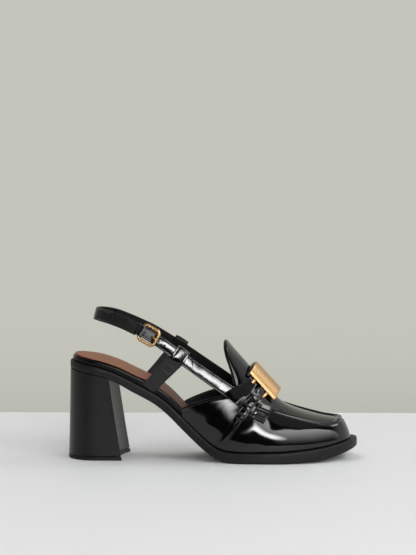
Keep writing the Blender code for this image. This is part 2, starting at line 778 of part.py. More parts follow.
def make_vamp_straps(collection):
    heights = smooth_curve(VAMP_STRAP, "height")
    widths = smooth_curve(VAMP_STRAP, "width")
    start, end = VAMP_STRAP[0].x, VAMP_STRAP[-1].x
    places = [start + (end - start) * i / VAMP_STRAP_ROWS for i in range(VAMP_STRAP_ROWS + 1)]
    for side, word in SIDES:
        levels = [across_at_height(x, side, heights(x)) for x in places]
        centres = [offset_point(x, across, GAP) for x, across in zip(places, levels)]
        normals = [last_normal(x, across) for x, across in zip(places, levels)]
        grid = []
        for j in range(VAMP_STRAP_COLUMNS + 1):
            shift = 0.5 - j / VAMP_STRAP_COLUMNS
            line = []
            for i, x in enumerate(places):
                before, after = centres[max(i - 1, 0)], centres[min(i + 1, len(centres) - 1)]
                across_dir = normals[i].cross(after - before).normalized()
                line.append(centres[i] + across_dir * (shift * widths(x)))
            grid.append(line)
        sheet(collection, "vamp_strap_" + word, grid, PATENT, VAMP_STRAP_THICKNESS)


def make_side_tabs(collection):
    size = TAB_STEPS + 1
    for side, word in SIDES:
        layers = []
        for outer in (False, True):
            for i in range(size):
                for j in range(size):
                    s, t = i / TAB_STEPS, j / TAB_STEPS
                    rear_x = TAB_REAR_BOTTOM.x + (TAB_REAR_TOP.x - TAB_REAR_BOTTOM.x) * t
                    front_x = TAB_FRONT_BOTTOM.x + (TAB_FRONT_TOP.x - TAB_FRONT_BOTTOM.x) * t
                    rear_z = TAB_REAR_BOTTOM.height + (TAB_REAR_TOP.height - TAB_REAR_BOTTOM.height) * t
                    front_z = TAB_FRONT_BOTTOM.height + (TAB_FRONT_TOP.height - TAB_FRONT_BOTTOM.height) * t
                    u = rear_x + (front_x - rear_x) * s
                    across = across_at_height(u, side, rear_z + (front_z - rear_z) * s)
                    ridge = 1.0 - abs(2.0 * t - 1.0)
                    offset = TAB_LIFT + (TAB_EDGE + (TAB_RIDGE - TAB_EDGE) * ridge if outer else 0.0)
                    layers.append(offset_point(u, across, offset))
        faces = grid_faces(size, size) + grid_faces(size, size, size * size, flip=True)
        rim = [i * size for i in range(size)] + [(size - 1) * size + j for j in range(1, size)]
        rim += [i * size + size - 1 for i in range(size - 2, -1, -1)] + list(range(size - 2, 0, -1))
        for a, b in zip(rim, rim[1:] + rim[:1]):
            faces.append((a, b, b + size * size, a + size * size))
        add_piece(collection, "side_tab_" + word, layers, faces, PATENT)


def make_plate(collection):
    rear = Vector((PLATE_REAR[0], 0.0, PLATE_REAR[1]))
    front = Vector((PLATE_FRONT[0], 0.0, PLATE_FRONT[1]))
    along = (front - rear).normalized()
    normal = Vector((-along.z, 0.0, along.x))
    reach = math.asin(PLATE_HALF_WIDTH / PLATE_RADIUS)
    columns = PLATE_COLUMNS + 3
    verts = []
    for share in PLATE_SHARES:
        base = rear.lerp(front, share) - normal * PLATE_RADIUS
        line = []
        for j in range(PLATE_COLUMNS + 1):
            turn = 2.0 * j / PLATE_COLUMNS - 1.0
            angle = reach * turn
            across = Vector((0, PLATE_RADIUS * math.sin(angle), 0))
            rise = normal * (PLATE_RADIUS * math.cos(angle))
            line.append(base + across + rise + along * (PLATE_SWEEP * turn * turn))
        lugs = []
        for edge, side in ((line[0], LATERAL), (line[-1], MEDIAL)):
            fall = Vector((0, side * math.cos(PLATE_LUG_ANGLE), 0)) - normal * math.sin(PLATE_LUG_ANGLE)
            lugs.append(edge + fall * PLATE_LUG_LENGTH)
        verts += [lugs[0]] + line + [lugs[1]]
    faces = []
    for face in grid_faces(len(PLATE_SHARES), columns):
        row, column = divmod(min(face), columns)
        is_lug = column in (0, columns - 2)
        if not is_lug or row in PLATE_LUG_ROWS:
            faces.append(face)
    used = sorted({i for face in faces for i in face})
    places = {old: new for new, old in enumerate(used)}
    kept = [[places[i] for i in face] for face in faces]
    piece = add_piece(collection, "plate", [verts[i] for i in used], kept, GOLD, closed=False)
    add_thickness(piece, PLATE_THICKNESS, outward=False)


# Sling, buckle and side straps


class SlingPath:
    """The middle line of the sling, measured along its length from the lateral front end."""

    def __init__(self, step=0.5):
        lateral = [Vector((p.x, -p.half_width, p.height)) for p in SLING_LINE]
        medial = [Vector((p.x, p.half_width, p.height - p.medial_drop)) for p in SLING_LINE[-2::-1]]
        knots = lateral + medial
        self.points = [knots[0]]
        for i in range(len(knots) - 1):
            before = knots[max(i - 1, 0)]
            after = knots[min(i + 2, len(knots) - 1)]
            start = (knots[i + 1] - before) / 2
            end = (after - knots[i]) / 2
            count = max(2, int((knots[i + 1] - knots[i]).length / step))
            for k in range(1, count + 1):
                t = k / count
                points = (knots[i], knots[i] + start / 3, knots[i + 1] - end / 3, knots[i + 1])
                self.points.append(bezier(points, t))
        self.lengths = [0.0]
        for a, b in zip(self.points, self.points[1:]):
            self.lengths.append(self.lengths[-1] + (b - a).length)
        self.total = self.lengths[-1]

    def point(self, s):
        s = min(max(s, 0.0), self.total)
        i = 0
        while i < len(self.lengths) - 2 and s > self.lengths[i + 1]:
            i += 1
        t = (s - self.lengths[i]) / (self.lengths[i + 1] - self.lengths[i])
        return self.points[i].lerp(self.points[i + 1], t)

    def frame(self, s):
        """Return the middle, the direction along, the direction up the width and outwards."""
        step = 1.5
        along = (self.point(s + step) - self.point(s - step)).normalized()
        out = Vector((-along.y, along.x, 0.0)).normalized()
        out = (out + Vector((0, 0, SLING_LEAN))).normalized()
        up = along.cross(out).normalized()
        return self.point(s), along, up, up.cross(along).normalized()

    def length_at(self, x):
        """Return the length along the lateral half where the sling passes an X."""
        half = self.total / 2
        low, high = 0.0, half
        for _ in range(40):
            middle = (low + high) / 2
            if self.point(middle).x > x:
                low = middle
            else:
                high = middle
        return low


def ribbon(collection, name, path, start, end, widths, thickness, finish, slants=(0.0, 0.0)):
    """Sweep a flat strap along a stretch of the sling; widths and slants are those at its two ends."""
    count = max(2, round((end - start) / SLING_STEP))
    rings = []
    for i in range(count + 1):
        t = i / count
        s = start + (end - start) * t
        middle, along, up, out = path.frame(s)
        half = (widths[0] + (widths[1] - widths[0]) * t) / 2
        slant = slants[0] * max(0.0, 1.0 - (s - start) / SLING_SLANT_FADE)
        slant += slants[1] * max(0.0, 1.0 - (end - s) / SLING_SLANT_FADE)
        edge = (up + along * slant) * half
        depth = out * (thickness / 2)
        low, high = middle - edge, middle + edge
        rings.append([low - depth, high - depth, high + depth, low + depth])
    return loft_rings(collection, name, rings, finish)


def buckle_places(path):
    """Return the lengths along the sling of the buckle's front and rear bars."""
    reach = BUCKLE_LENGTH / 2 - BUCKLE_BAR
    middle = path.length_at(BUCKLE_X)
    return middle - reach, middle + reach


def bar_height():
    return SLING_THICKNESS / 2 + GAP + BUCKLE_BAR


def tab_radius():
    return BUCKLE_BAR + GAP + BUCKLE_TAB_LAYER


def make_sling(collection, path):
    rear_bar = buckle_places(path)[1]
    elastic = path.length_at(ELASTIC_FRONT_X), path.length_at(ELASTIC_REAR_X)
    back = path.total - path.length_at(ELASTIC_REAR_X)
    ribbon(collection, "sling_strap_lateral", path, 0.0, rear_bar - tab_radius() - GAP,
           (SLING_FRONT_WIDTH, SLING_FRONT_WIDTH), SLING_THICKNESS, PATENT, (-SLING_SLANT, 0.0))
    ribbon(collection, "elastic_gore", path, elastic[0] + GAP, elastic[1] - GAP,
           (SLING_BACK_WIDTH, SLING_BACK_WIDTH), ELASTIC_THICKNESS, ELASTIC_BLACK)
    ribbon(collection, "sling_back_band", path, elastic[1], back,
           (SLING_BACK_WIDTH, SLING_BACK_WIDTH), SLING_THICKNESS, PATENT)
    ribbon(collection, "sling_strap_medial", path, back + GAP, path.total,
           (SLING_BACK_WIDTH, SLING_FRONT_WIDTH), SLING_THICKNESS, PATENT, (0.0, SLING_SLANT))


def make_buckle(collection, path):
    front_bar, rear_bar = buckle_places(path)
    centre, along, up, out = path.frame((front_bar + rear_bar) / 2)
    centre = centre + out * bar_height()
    half_x = BUCKLE_LENGTH / 2 - BUCKLE_BAR
    half_y = BUCKLE_HEIGHT / 2 - BUCKLE_BAR
    rings = []
    for corner in range(4):
        quarter = math.pi / 2
        sign_x = (1, -1, -1, 1)[corner]
        sign_y = (1, 1, -1, -1)[corner]
        pivot = centre + along * sign_x * (half_x - BUCKLE_CORNER) + up * sign_y * (half_y - BUCKLE_CORNER)
        for i in range(BUCKLE_CORNER_STEPS + 1):
            angle = quarter * (corner + i / BUCKLE_CORNER_STEPS)
            ray = along * math.cos(angle) + up * math.sin(angle)
            middle = pivot + ray * BUCKLE_CORNER
            ring = []
            for k in range(BUCKLE_SIDES):
                turn = 2 * math.pi * (k + 0.5) / BUCKLE_SIDES
                ring.append(middle + (ray * math.cos(turn) + out * math.sin(turn)) * BUCKLE_BAR)
            rings.append(ring)
    loft_rings(collection, "buckle_frame", rings, GOLD, closed_path=True)

    lift = BUCKLE_BAR + GAP + PRONG_RADIUS
    base = -half_x + BUCKLE_BAR + GAP
    line = ((half_x - tab_radius() - GAP, -BUCKLE_BAR + PRONG_RADIUS), (0.0, PRONG_MIDDLE_LIFT * lift),
            (base - PRONG_REST, lift), (-half_x - BUCKLE_BAR, lift))
    rings = []
    for reach, height in line:
        middle = centre + along * reach + out * height
        ring = []
        for k in range(PRONG_SIDES):
            turn = 2 * math.pi * k / PRONG_SIDES
            ring.append(middle + (up * math.cos(turn) + out * math.sin(turn)) * PRONG_RADIUS)
        rings.append(ring)
    loft_rings(collection, "buckle_prong", rings, GOLD)


def extrude_outline(collection, name, loops, place, width, finish):
    """Fill a flat outline with any holes, set it in space with place, and give it a width."""
    bm = bmesh.new()
    edges = []
    for loop in loops:
        verts = [bm.verts.new(place(*point) * MM) for point in loop]
        edges += [bm.edges.new((a, b)) for a, b in zip(verts, verts[1:] + verts[:1])]
    filled = bmesh.ops.triangle_fill(bm, use_beauty=True, use_dissolve=False, edges=edges)
    faces = [item for item in filled["geom"] if isinstance(item, bmesh.types.BMFace)]
    grown = bmesh.ops.extrude_face_region(bm, geom=faces)
    moved = [item for item in grown["geom"] if isinstance(item, bmesh.types.BMVert)]
    bmesh.ops.translate(bm, verts=moved, vec=width * MM)
    bmesh.ops.recalc_face_normals(bm, faces=bm.faces)
    mesh = bpy.data.meshes.new(name)
    bm.to_mesh(mesh)
    bm.free()
    mesh.materials.append(finish_material(name, finish))
    piece = bpy.data.objects.new(name, mesh)
    collection.objects.link(piece)
    return piece


def make_buckle_tab(collection, path):
    """A folded strap end round the rear bar of the buckle, sewn to the elastic."""
    front_bar, rear_bar = buckle_places(path)
    middle, along, up, out = path.frame((front_bar + rear_bar) / 2)
    middle = middle + along * (BUCKLE_LENGTH / 2 - BUCKLE_BAR)
    end = path.point(path.length_at(ELASTIC_FRONT_X)) - middle
    length = end.dot(along) - 2 * GAP
    drift = end.dot(out)
    height = bar_height()
    radius = tab_radius()
    hole = BUCKLE_BAR + GAP
    depth = SLING_THICKNESS / 2
    outline = [(length, drift - depth), (length, drift + depth)]
    for i in range(BUCKLE_TAB_ARC_STEPS + 1):
        angle = BUCKLE_TAB_ARC_START + BUCKLE_TAB_ARC * i / BUCKLE_TAB_ARC_STEPS
        outline.append((radius * math.cos(angle), height + radius * math.sin(angle)))
    ring = []
    for i in range(BUCKLE_TAB_ARC_STEPS):
        angle = 2 * math.pi * i / BUCKLE_TAB_ARC_STEPS
        ring.append((hole * math.cos(angle), height + hole * math.sin(angle)))

    def place(reach, rise):
        return middle + along * reach + out * rise - up * (BUCKLE_TAB_WIDTH / 2)

    extrude_outline(collection, "buckle_tab", (outline, ring), place, up * BUCKLE_TAB_WIDTH, PATENT)


def make_side_straps(collection, path):
    for side, word in SIDES:
        reach = path.length_at(SIDE_STRAP_X[side])
        s = reach if side == LATERAL else path.total - reach
        middle, along, up, out = path.frame(s)
        layer = SIDE_STRAP_LAYER
        inner = SLING_THICKNESS / 2 + GAP + layer / 2
        foot_x = SIDE_STRAP_FOOT_X[side]
        foot_y = sole_width[side](foot_x) - footbed_inset(foot_x) + GAP + layer / 2
        foot_y += SIDE_STRAP_FOOT_OUT[side]
        foot = Vector((foot_x, side * foot_y, sole_top(foot_x) + GAP + SIDE_STRAP_FOOT_LIFT))
        fall_end = (middle - foot).dot(up)
        rise_end = (foot - middle).dot(out)
        slant = (foot - middle).dot(along)
        edge = SLING_FRONT_WIDTH / 2 + GAP
        bend = edge + SIDE_STRAP_BEND

        def run(fall):
            return -inner + (rise_end + inner) * (fall - bend) / (fall_end - bend)

        def place(fall, rise):
            drift = slant * max(0.0, fall - edge) / (fall_end - edge)
            return middle - up * fall + out * rise + along * (drift - SIDE_STRAP_WIDTH / 2)

        step = layer + GAP
        centre_line = [(fall_end, rise_end), (bend, -inner), (-edge, -inner)]
        for i in range(1, SIDE_STRAP_ARC_STEPS):
            angle = math.pi * i / SIDE_STRAP_ARC_STEPS
            centre_line.append((-edge - inner * math.sin(angle), -inner * math.cos(angle)))
        centre_line += [(-edge, inner), (edge + GAP, inner)]
        for fall in (bend + SIDE_STRAP_BEND, SIDE_STRAP_FLAP):
            centre_line.append((fall, run(fall) + step))
        outline = offset_outline(centre_line, layer / 2)
        extrude_outline(collection, "side_strap_" + word, (outline,), place, along * SIDE_STRAP_WIDTH, PATENT)


def offset_outline(line, half):
    """Return the closed outline of a flat line that has a thickness."""
    left, right = [], []
    for i, point in enumerate(line):
        before, after = line[max(i - 1, 0)], line[min(i + 1, len(line) - 1)]
        dx, dy = after[0] - before[0], after[1] - before[1]
        size = math.hypot(dx, dy)
        nx, ny = -dy / size, dx / size
        left.append((point[0] + nx * half, point[1] + ny * half))
        right.append((point[0] - nx * half, point[1] - ny * half))
    return left + right[::-1]


def main():
    for item in list(bpy.data.objects):
        bpy.data.objects.remove(item, do_unlink=True)
    collection = bpy.data.collections.new("slingback_loafer")
    bpy.context.scene.collection.children.link(collection)
    make_outsole(collection)
    make_heel(collection)
    make_footbed(collection)
    make_sock(collection)
    make_upper(collection)
    make_tongue(collection)
    make_saddle(collection)
    make_vamp_straps(collection)
    make_side_tabs(collection)
    make_plate(collection)
    path = SlingPath()
    make_sling(collection, path)
    make_buckle(collection, path)
    make_buckle_tab(collection, path)
    make_side_straps(collection, path)


main()
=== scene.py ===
"""Slingback loafer: leather, thread, metal and a plain stage on the frame of its solids.

Sizes in the tables are millimetres, as a shoemaker gives them, and meshes are made in metres.
+X points to the toe, +Z up, -Y is the outer (lateral) side.
"""
import math
from collections import namedtuple

import bmesh
import bpy
from bpy.props import FloatProperty, FloatVectorProperty, IntProperty, PointerProperty
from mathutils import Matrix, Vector
from mathutils.bvhtree import BVHTree


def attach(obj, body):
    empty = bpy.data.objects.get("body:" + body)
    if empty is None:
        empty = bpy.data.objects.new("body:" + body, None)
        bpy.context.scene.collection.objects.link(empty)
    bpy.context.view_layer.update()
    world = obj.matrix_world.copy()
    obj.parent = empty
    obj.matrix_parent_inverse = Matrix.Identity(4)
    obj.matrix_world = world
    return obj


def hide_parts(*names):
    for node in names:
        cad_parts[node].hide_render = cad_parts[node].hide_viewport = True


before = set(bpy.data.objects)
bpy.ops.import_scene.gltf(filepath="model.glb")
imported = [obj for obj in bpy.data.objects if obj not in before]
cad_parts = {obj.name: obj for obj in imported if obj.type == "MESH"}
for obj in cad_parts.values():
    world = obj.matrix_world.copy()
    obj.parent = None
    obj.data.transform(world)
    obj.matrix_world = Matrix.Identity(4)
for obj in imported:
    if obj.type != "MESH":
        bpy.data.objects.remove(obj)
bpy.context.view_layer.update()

bl_info = {
    "name": "Slingback loafer",
    "version": (1, 0, 0),
    "blender": (4, 5, 0),
    "location": "3D View > Sidebar > Loafer",
    "description": "Finishes a slingback loafer in patent leather, thread and gilt metal",
    "category": "Object",
}

BODY = "root"
MM = 0.001
GAP = 0.3
LATERAL = -1
MEDIAL = 1
SIDES = ((LATERAL, "lateral"), (MEDIAL, "medial"))
MERGE = 1e-7
QUARTER = math.pi / 2

# Angles in degrees: an edge is drawn sharp, or rounded off, where two faces meet at more than this
CORNER = 50.0
SOFT_CORNER = 60.0
FIRM_CORNER = 40.0
BEVEL_CORNER = 35.0
TAB_CORNER = 38.0
PLATE_CORNER = 12.0


def table(columns, *rows):
    """Return rows whose values are read by the names of their columns."""
    kind = namedtuple("Row", columns)
    return tuple(kind(*row) for row in rows)


# Plan and profile of the sole
HEEL_PIVOT = -93.0
HEEL_REACH = 25.5
HEEL_ROUNDNESS = 2.1
TOE_PIVOT = 45.0
TOE_REACH = 75.0
TOE_SHIFT = 3.0
TOE_ROUNDNESS = {LATERAL: 2.05, MEDIAL: 2.35}

SOLE_WIDTHS = table(
    "x lateral medial",
    (-93.0, 26.5, 26.5), (-75.0, 27.0, 26.0), (-50.0, 27.5, 24.5), (-25.0, 30.0, 24.0),
    (0.0, 35.5, 30.0), (20.0, 40.0, 38.0), (35.0, 41.8, 41.5), (45.0, 42.0, 42.0),
)
SOLE_PROFILE = table(
    "x bottom thickness",
    (-118.5, 75.6, 6.6), (-105.0, 73.0, 6.7), (-92.0, 70.0, 6.9), (-80.0, 65.3, 7.4),
    (-65.4, 57.3, 8.2), (-55.5, 52.2, 8.4), (-45.6, 46.3, 8.8), (-35.7, 38.1, 9.4),
    (-25.8, 28.3, 9.9), (-15.8, 18.6, 9.9), (-5.8, 9.8, 9.4), (4.2, 3.0, 9.0), (12.0, 0.6, 8.8),
    (24.0, 0.0, 8.8), (56.0, 0.0, 9.2), (75.0, 1.0, 9.6), (95.0, 3.4, 9.6), (107.0, 6.0, 9.2),
    (120.0, 10.4, 7.4),
)
WAIST_STEP = 4.6
HEEL_STEPS = 14
TOE_STEPS = 22
CAP_COLUMNS = 6

FOOTBED = table(
    "x inset thickness",
    (-120.0, 2.2, 4.2), (-95.0, 2.2, 4.6), (-50.0, 2.2, 6.0), (-36.0, 3.0, 6.2), (-27.0, 5.2, 6.0),
    (-8.0, 6.2, 4.0), (10.0, 6.4, 3.0), (45.0, 6.4, 3.0),
)
FOOTBED_TOE_INSET = 10.0
SOCK_INSET = 1.8
SOCK_THICKNESS = 1.2

# The edge of a slab, from its lower face round to its upper face
EDGE_COLUMNS = "inset base lift"
OUTSOLE_EDGE = table(
    EDGE_COLUMNS,
    (1.6, "bottom", 0.0), (0.6, "bottom", 0.12), (0.12, "bottom", 0.5), (0.0, "bottom", 1.2),
    (0.0, "top", -2.2), (0.1, "top", -1.2), (0.5, "top", -0.45), (1.2, "top", -0.08),
    (2.2, "top", 0.0),
)
FOOTBED_EDGE = table(
    EDGE_COLUMNS,
    (1.0, "bottom", 0.0), (0.3, "bottom", 0.15), (0.0, "bottom", 0.9), (0.0, "top", -1.7),
    (0.2, "top", -0.8), (0.7, "top", -0.2), (1.6, "top", 0.0),
)
SOCK_EDGE = table(
    EDGE_COLUMNS,
    (0.5, "bottom", 0.0), (0.0, "bottom", 0.3), (0.05, "top", -0.45), (0.35, "top", -0.1),
    (1.2, "top", 0.0),
)

# Block heel
HeelPlan = namedtuple("HeelPlan", "back corner_lateral corner_medial half_width hollow")
HEEL_FOOT = HeelPlan(-120.0, -74.4, -70.3, 25.6, 5.0)
HEEL_TOP = HeelPlan(-118.4, -85.0, -80.4, 24.6, 4.0)
HEEL_FLARE = 1.35
HEEL_ROUND_START = -96.0
HEEL_PLAN_ROUNDNESS = 2.2
HEEL_TIP_THICKNESS = 3.0
HEEL_ROWS = 24
HEEL_SIDE_STEPS = 6
HEEL_BACK_STEPS = 16
HEEL_BREAST_STEPS = 14
HEEL_EDGE = 0.7

# The last
FEATHER_INSET = 2.6
FEATHER_TOE_INSET = 5.0
FEATHER_LIFT = 0.35
FEATHER_ROUNDNESS = 2.2
RIDGE_REACH = 60.5
RIDGE_ROUNDNESS = 3.6
CREASE_INSET = 2.2
CREASE_DEPTH = 1.2
CREASE_LEVEL = 1.08
CROWN_LEVEL = 2.0
RELIEF_START = 44.0
RELIEF_FULL = 54.0
NORMAL_STEP = 0.4
NORMAL_ACROSS_STEP = 0.02
LAST_HALVINGS = 36
APRON_HALVINGS = 24
LEAST_WIDTH = 0.01

SHOULDER_WIDTHS = table(
    "x lateral medial",
    (-30.0, 25.0, 23.0), (0.0, 27.8, 28.0), (20.0, 26.8, 27.0), (36.0, 25.4, 25.0),
    (45.0, 24.2, 22.4),
)
LAST_HEIGHTS = table(
    "x lateral medial crown",
    (-30.0, 84.0, 84.0, 128.0), (0.0, 74.0, 74.4, 109.0), (9.0, 70.5, 71.0, 101.4),
    (20.0, 65.0, 65.4, 88.9), (27.3, 60.6, 61.0, 81.0), (36.0, 54.5, 55.0, 70.8),
    (45.0, 46.8, 48.6, 61.0), (56.0, 41.6, 44.4, 48.7), (64.0, 39.2, 41.6, 43.2),
    (73.0, 36.8, 39.0, 40.1), (84.0, 34.2, 36.2, 37.1), (95.0, 32.4, 34.1, 34.8),
    (101.0, 32.8, 33.9, 34.2), (105.5, 34.3, 34.3, 33.1),
)
WALL_SHAPES = table(
    "x waist bulge lean drop",
    (-30.0, 0.30, 0.4, 0.50, 0.20), (3.0, 0.28, 1.3, 0.49, 0.19), (20.0, 0.24, 1.7, 0.52, 0.15),
    (36.0, 0.36, 2.0, 0.54, 0.12), (45.0, 0.43, 2.2, 0.48, 0.09), (58.0, 0.45, 2.2, 0.42, 0.07),
    (80.0, 0.45, 1.6, 0.38, 0.065), (98.0, 0.45, 0.2, 0.38, 0.05), (105.5, 0.45, -1.7, 0.38, 0.04),
)
TOP_SHAPES = table(
    "x rise shoulder brow",
    (-30.0, 3.2, 0.86, 0.72), (8.0, 3.2, 0.86, 0.72), (15.0, 2.7, 0.85, 0.68),
    (20.0, 1.9, 0.80, 0.62), (27.0, 1.1, 0.74, 0.52), (36.0, 0.75, 0.72, 0.45),
    (45.0, 0.55, 0.72, 0.45), (58.0, 0.42, 0.72, 0.45), (80.0, 0.33, 0.72, 0.45),
    (105.5, 0.15, 0.72, 0.45),
)

# The upper's cage: rows along the foot, columns from the feather edge to the crown
UPPER_WALL = 1.8
THROAT = 40.0
RIM = table(
    "x height",
    (-25.0, 44.0), (-22.0, 45.8), (-12.0, 50.0), (-2.0, 53.4), (9.9, 56.2), (17.4, 58.5),
    (22.0, 60.5), (30.0, 63.5), (36.0, 65.6), (40.0, 67.0),
)
QUARTER_STATIONS = (
    -25.0, -24.2, -22.0, -17.0, -12.0, -7.0, -2.0, 4.0, 10.0, 16.0, 22.0, 28.0, 33.0, 37.0,
)
TOE_SIDE_TURNS = (0.0, 1.2, 3.4, 8.0, 15.0, 23.0, 31.0, 38.0, 42.5, 45.0)
TOE_FRONT_TURNS = (47.5, 54.0, 63.0, 72.0, 81.0, 90.0)
APRON_PLACES = [THROAT] + [TOE_PIVOT + turn for turn in TOE_SIDE_TURNS]
FRONT_PLACES = [TOE_PIVOT + turn for turn in TOE_FRONT_TURNS]
WALL_SHARES = (0.0, 0.05, 0.16, 0.32, 0.5, 0.68, 0.86)
RIDGE_ROLL = table(
    "away lift",
    (7.0, 0.0), (5.2, 0.0), (4.1, -0.25), (3.3, -0.55), (2.6, -0.1), (1.8, 0.5), (0.9, 0.7),
    (0.0, 0.6),
)
VALLEY_SHARES = (0.35, 0.7, 0.9)
SECTION_STEPS = 48
RIDGE_TANGENT_STEP = 0.4
RIDGE_PLACE_STEP = 0.3
UPPER_INSIDE = (40.0, 0.0, 20.0)

TONGUE_THICKNESS = 3.8
TONGUE_SIDE = 20.3
TONGUE_TOP = 11.2
TONGUE_ROUNDING = 2.6
TONGUE_CORNER_HEIGHT = 84.5
TONGUE_SEAM = 0.6
TONGUE_COLUMNS = 22
TONGUE_ROWS = 14
TONGUE_INSIDE = (0.0, 0.0, 60.0)

PANEL_COLUMNS = "share x height"
PlaceRow = namedtuple("PlaceRow", "x place across")
SADDLE_THICKNESS = 1.3
SADDLE_REAR = table(
    PANEL_COLUMNS,
    (0.0, 9.9, 57.0), (0.25, 17.4, 61.5), (0.45, 23.0, 64.5), (0.72, 30.6, 71.0), (1.0, 31.2, 99.0),
)
SADDLE_FRONT = table(
    PANEL_COLUMNS,
    (0.0, 23.2, 46.0), (0.25, 27.6, 51.6), (0.45, 31.6, 56.2), (0.72, 37.0, 62.2),
    (1.0, 48.0, 99.0),
)
SADDLE_PUFF = table(
    "share lift",
    (0.0, 2.6), (0.1, 2.25), (0.4, 0.3), (0.56, 0.0), (1.0, 0.0),
)
SADDLE_PUFF_FADE = 0.3
SADDLE_STEPS = 32
SADDLE_ROWS = 8
SADDLE_INSIDE = (20.0, 0.0, 40.0)

VAMP_STRAP = table(
    "x height width",
    (9.0, 16.5, 6.6), (15.6, 26.6, 6.8), (21.4, 35.0, 7.4), (25.9, 41.4, 8.0), (31.6, 48.8, 8.0),
    (37.4, 55.4, 8.0), (41.6, 59.2, 8.0),
)
VAMP_STRAP_THICKNESS = 1.4
VAMP_STRAP_ROWS = 120
VAMP_STRAP_REACH = 3
VAMP_STRAP_BEAD = ((0.0, 0.0), (0.0, 0.7), (0.25, 1.1), (0.7, 1.3), (1.2, 1.15))
VAMP_STRAP_PUFF_INSET = 1.7
VAMP_STRAP_PUFF_DROP = 0.1
VAMP_STRAP_FLAT_SHARE = 0.3
VAMP_STRAP_FORM = table(
    "share lift",
    (0.0, 0.0), (0.40, 0.0), (0.42, 0.9), (0.46, 1.2), (0.485, 0.3), (0.51, 1.3), (0.57, 0.9),
    (0.60, 0.0), (0.635, 0.1), (0.65, 1.6), (0.67, 1.8), (0.81, 0.5), (0.825, -0.1), (0.845, -0.1),
    (0.86, 1.0), (0.93, 1.4), (1.0, 0.9),
)

TabCorner = namedtuple("TabCorner", "x height")
TAB_REAR_TOP = TabCorner(39.0, 48.2)
TAB_FRONT_TOP = TabCorner(50.6, 43.6)
TAB_REAR_BOTTOM = TabCorner(30.8, 39.2)
TAB_FRONT_BOTTOM = TabCorner(43.0, 33.0)
TAB_LIFT = 0.6
TAB_FOLDS = table(
    "share lift",
    (0.0, 1.1), (0.05, 1.5), (0.10, 1.2), (0.15, 1.9), (0.28, 2.3), (0.42, 2.5), (0.47, 1.6),
    (0.52, 1.5), (0.56, 2.9), (0.62, 3.1), (0.80, 2.2), (1.0, 1.3),
)
TAB_BORDER = (0.0, 0.06, 0.1, 0.16)
TAB_GROOVE = 0.35
TAB_GROOVE_COLUMN = 2
TAB_MIDDLE = (0.3, 0.5, 0.7)
TAB_BEVEL = 0.3

# The plate and its lugs
PLATE_REAR = (36.3, 80.4)
PLATE_FRONT = (56.8, 57.8)
PLATE_RADIUS = 21.4
PLATE_SWEEP = 2.2
PLATE_HALF_WIDTH = 17.0
PLATE_THICKNESS = 1.5
PLATE_COLUMNS = 28
PLATE_ROWS = 14
PLATE_BEVEL = 0.42
PLATE_EDGE_TURN = 0.915
PLATE_EDGE_DROP = 0.8
PLATE_LUG_SHARES = (0.24, 0.72)
PLATE_LUG_LENGTH = 5.6
PLATE_LUG_WIDTH = 2.6
PLATE_LUG_ANGLES = (math.radians(38.0), math.radians(100.0))
PLATE_LUG_STEPS = 12
PLATE_LUG_DEPTH = 0.6
PLATE_LUG_TAPER = 0.3
PLATE_LUG_BEVEL = 0.3
ROLL_RADIUS = 1.5
ROLL_SIDES = 14
ROLL_SETBACK = 0.5
ROLL_STEP = 1.0

# The sling
SLING_LINE = table(
    "x half_width height medial_drop",
    (17.0, 31.1, 57.2, -0.9), (14.0, 31.3, 59.3, -0.9), (8.0, 31.6, 63.5, -0.7),
    (-9.0, 32.3, 75.4, 0.0), (-26.3, 32.5, 87.9, 1.0), (-38.5, 31.9, 96.8, 2.2),
    (-50.4, 30.4, 104.4, 2.5), (-60.6, 28.2, 109.4, 2.3), (-72.0, 24.8, 114.4, 2.0),
    (-82.9, 19.6, 117.9, 1.0), (-92.2, 11.2, 119.6, 0.3), (-97.3, 0.0, 120.1, 0.0),
)
SLING_THICKNESS = 2.0
SLING_SADDLE_WIDTH = 10.8
SLING_FRONT_WIDTH = 9.0
SLING_BACK_WIDTH = 10.6
SLING_LEAN = 0.26
SLING_TWIST = 0.085
SLING_TWIST_END = 55.0
SLING_TWIST_FADE = 14.0
SLING_SLANT = 0.44
SLING_SLANT_FADE = 8.0
SLING_STEP = 1.6
SLING_PATH_STEP = 0.5
SLING_TANGENT_STEP = 2.5
SLING_HALVINGS = 40
BUCKLE_X = -51.2
ELASTIC_FRONT_X = -62.2
ELASTIC_REAR_X = -82.7
ELASTIC_THICKNESS = 1.8
ELASTIC_TUCK = 1.8
ELASTIC_GATHER = 0.12
GATHER_STEP = 0.7
# The gathers are two pairs of waves, in radians from ring to ring: fast, slow, and one wave's start
GATHER_WIDE = (1.9, 0.63, 0.8)
GATHER_DEEP = (2.3, 0.41, 0.4)
SLING_TURN_X = -70.0
SLING_END_LAYER = 1.5
SLING_END_WIDTH = 8.6
SLING_END_HOLES = (0.58, 0.8)
SLING_END_LINE = ((-5.2, -2.0), (-3.4, -0.9), (0.0, 0.55), (3.4, 2.1))
SLING_END_TURNS = (105, 80, 58, 40)
SLING_END_STEP = 0.6
SLING_END_ROUND = 3.0
SLING_END_TIP = 0.5
STRAP_SEAM_INSET = 1.3
STRAP_SEAM_LIFT = 0.8
LINING_FACING = -0.4
STRAP_HOLES_X = (-43.2, -38.4)
HOLE_DEPTH = 1.5

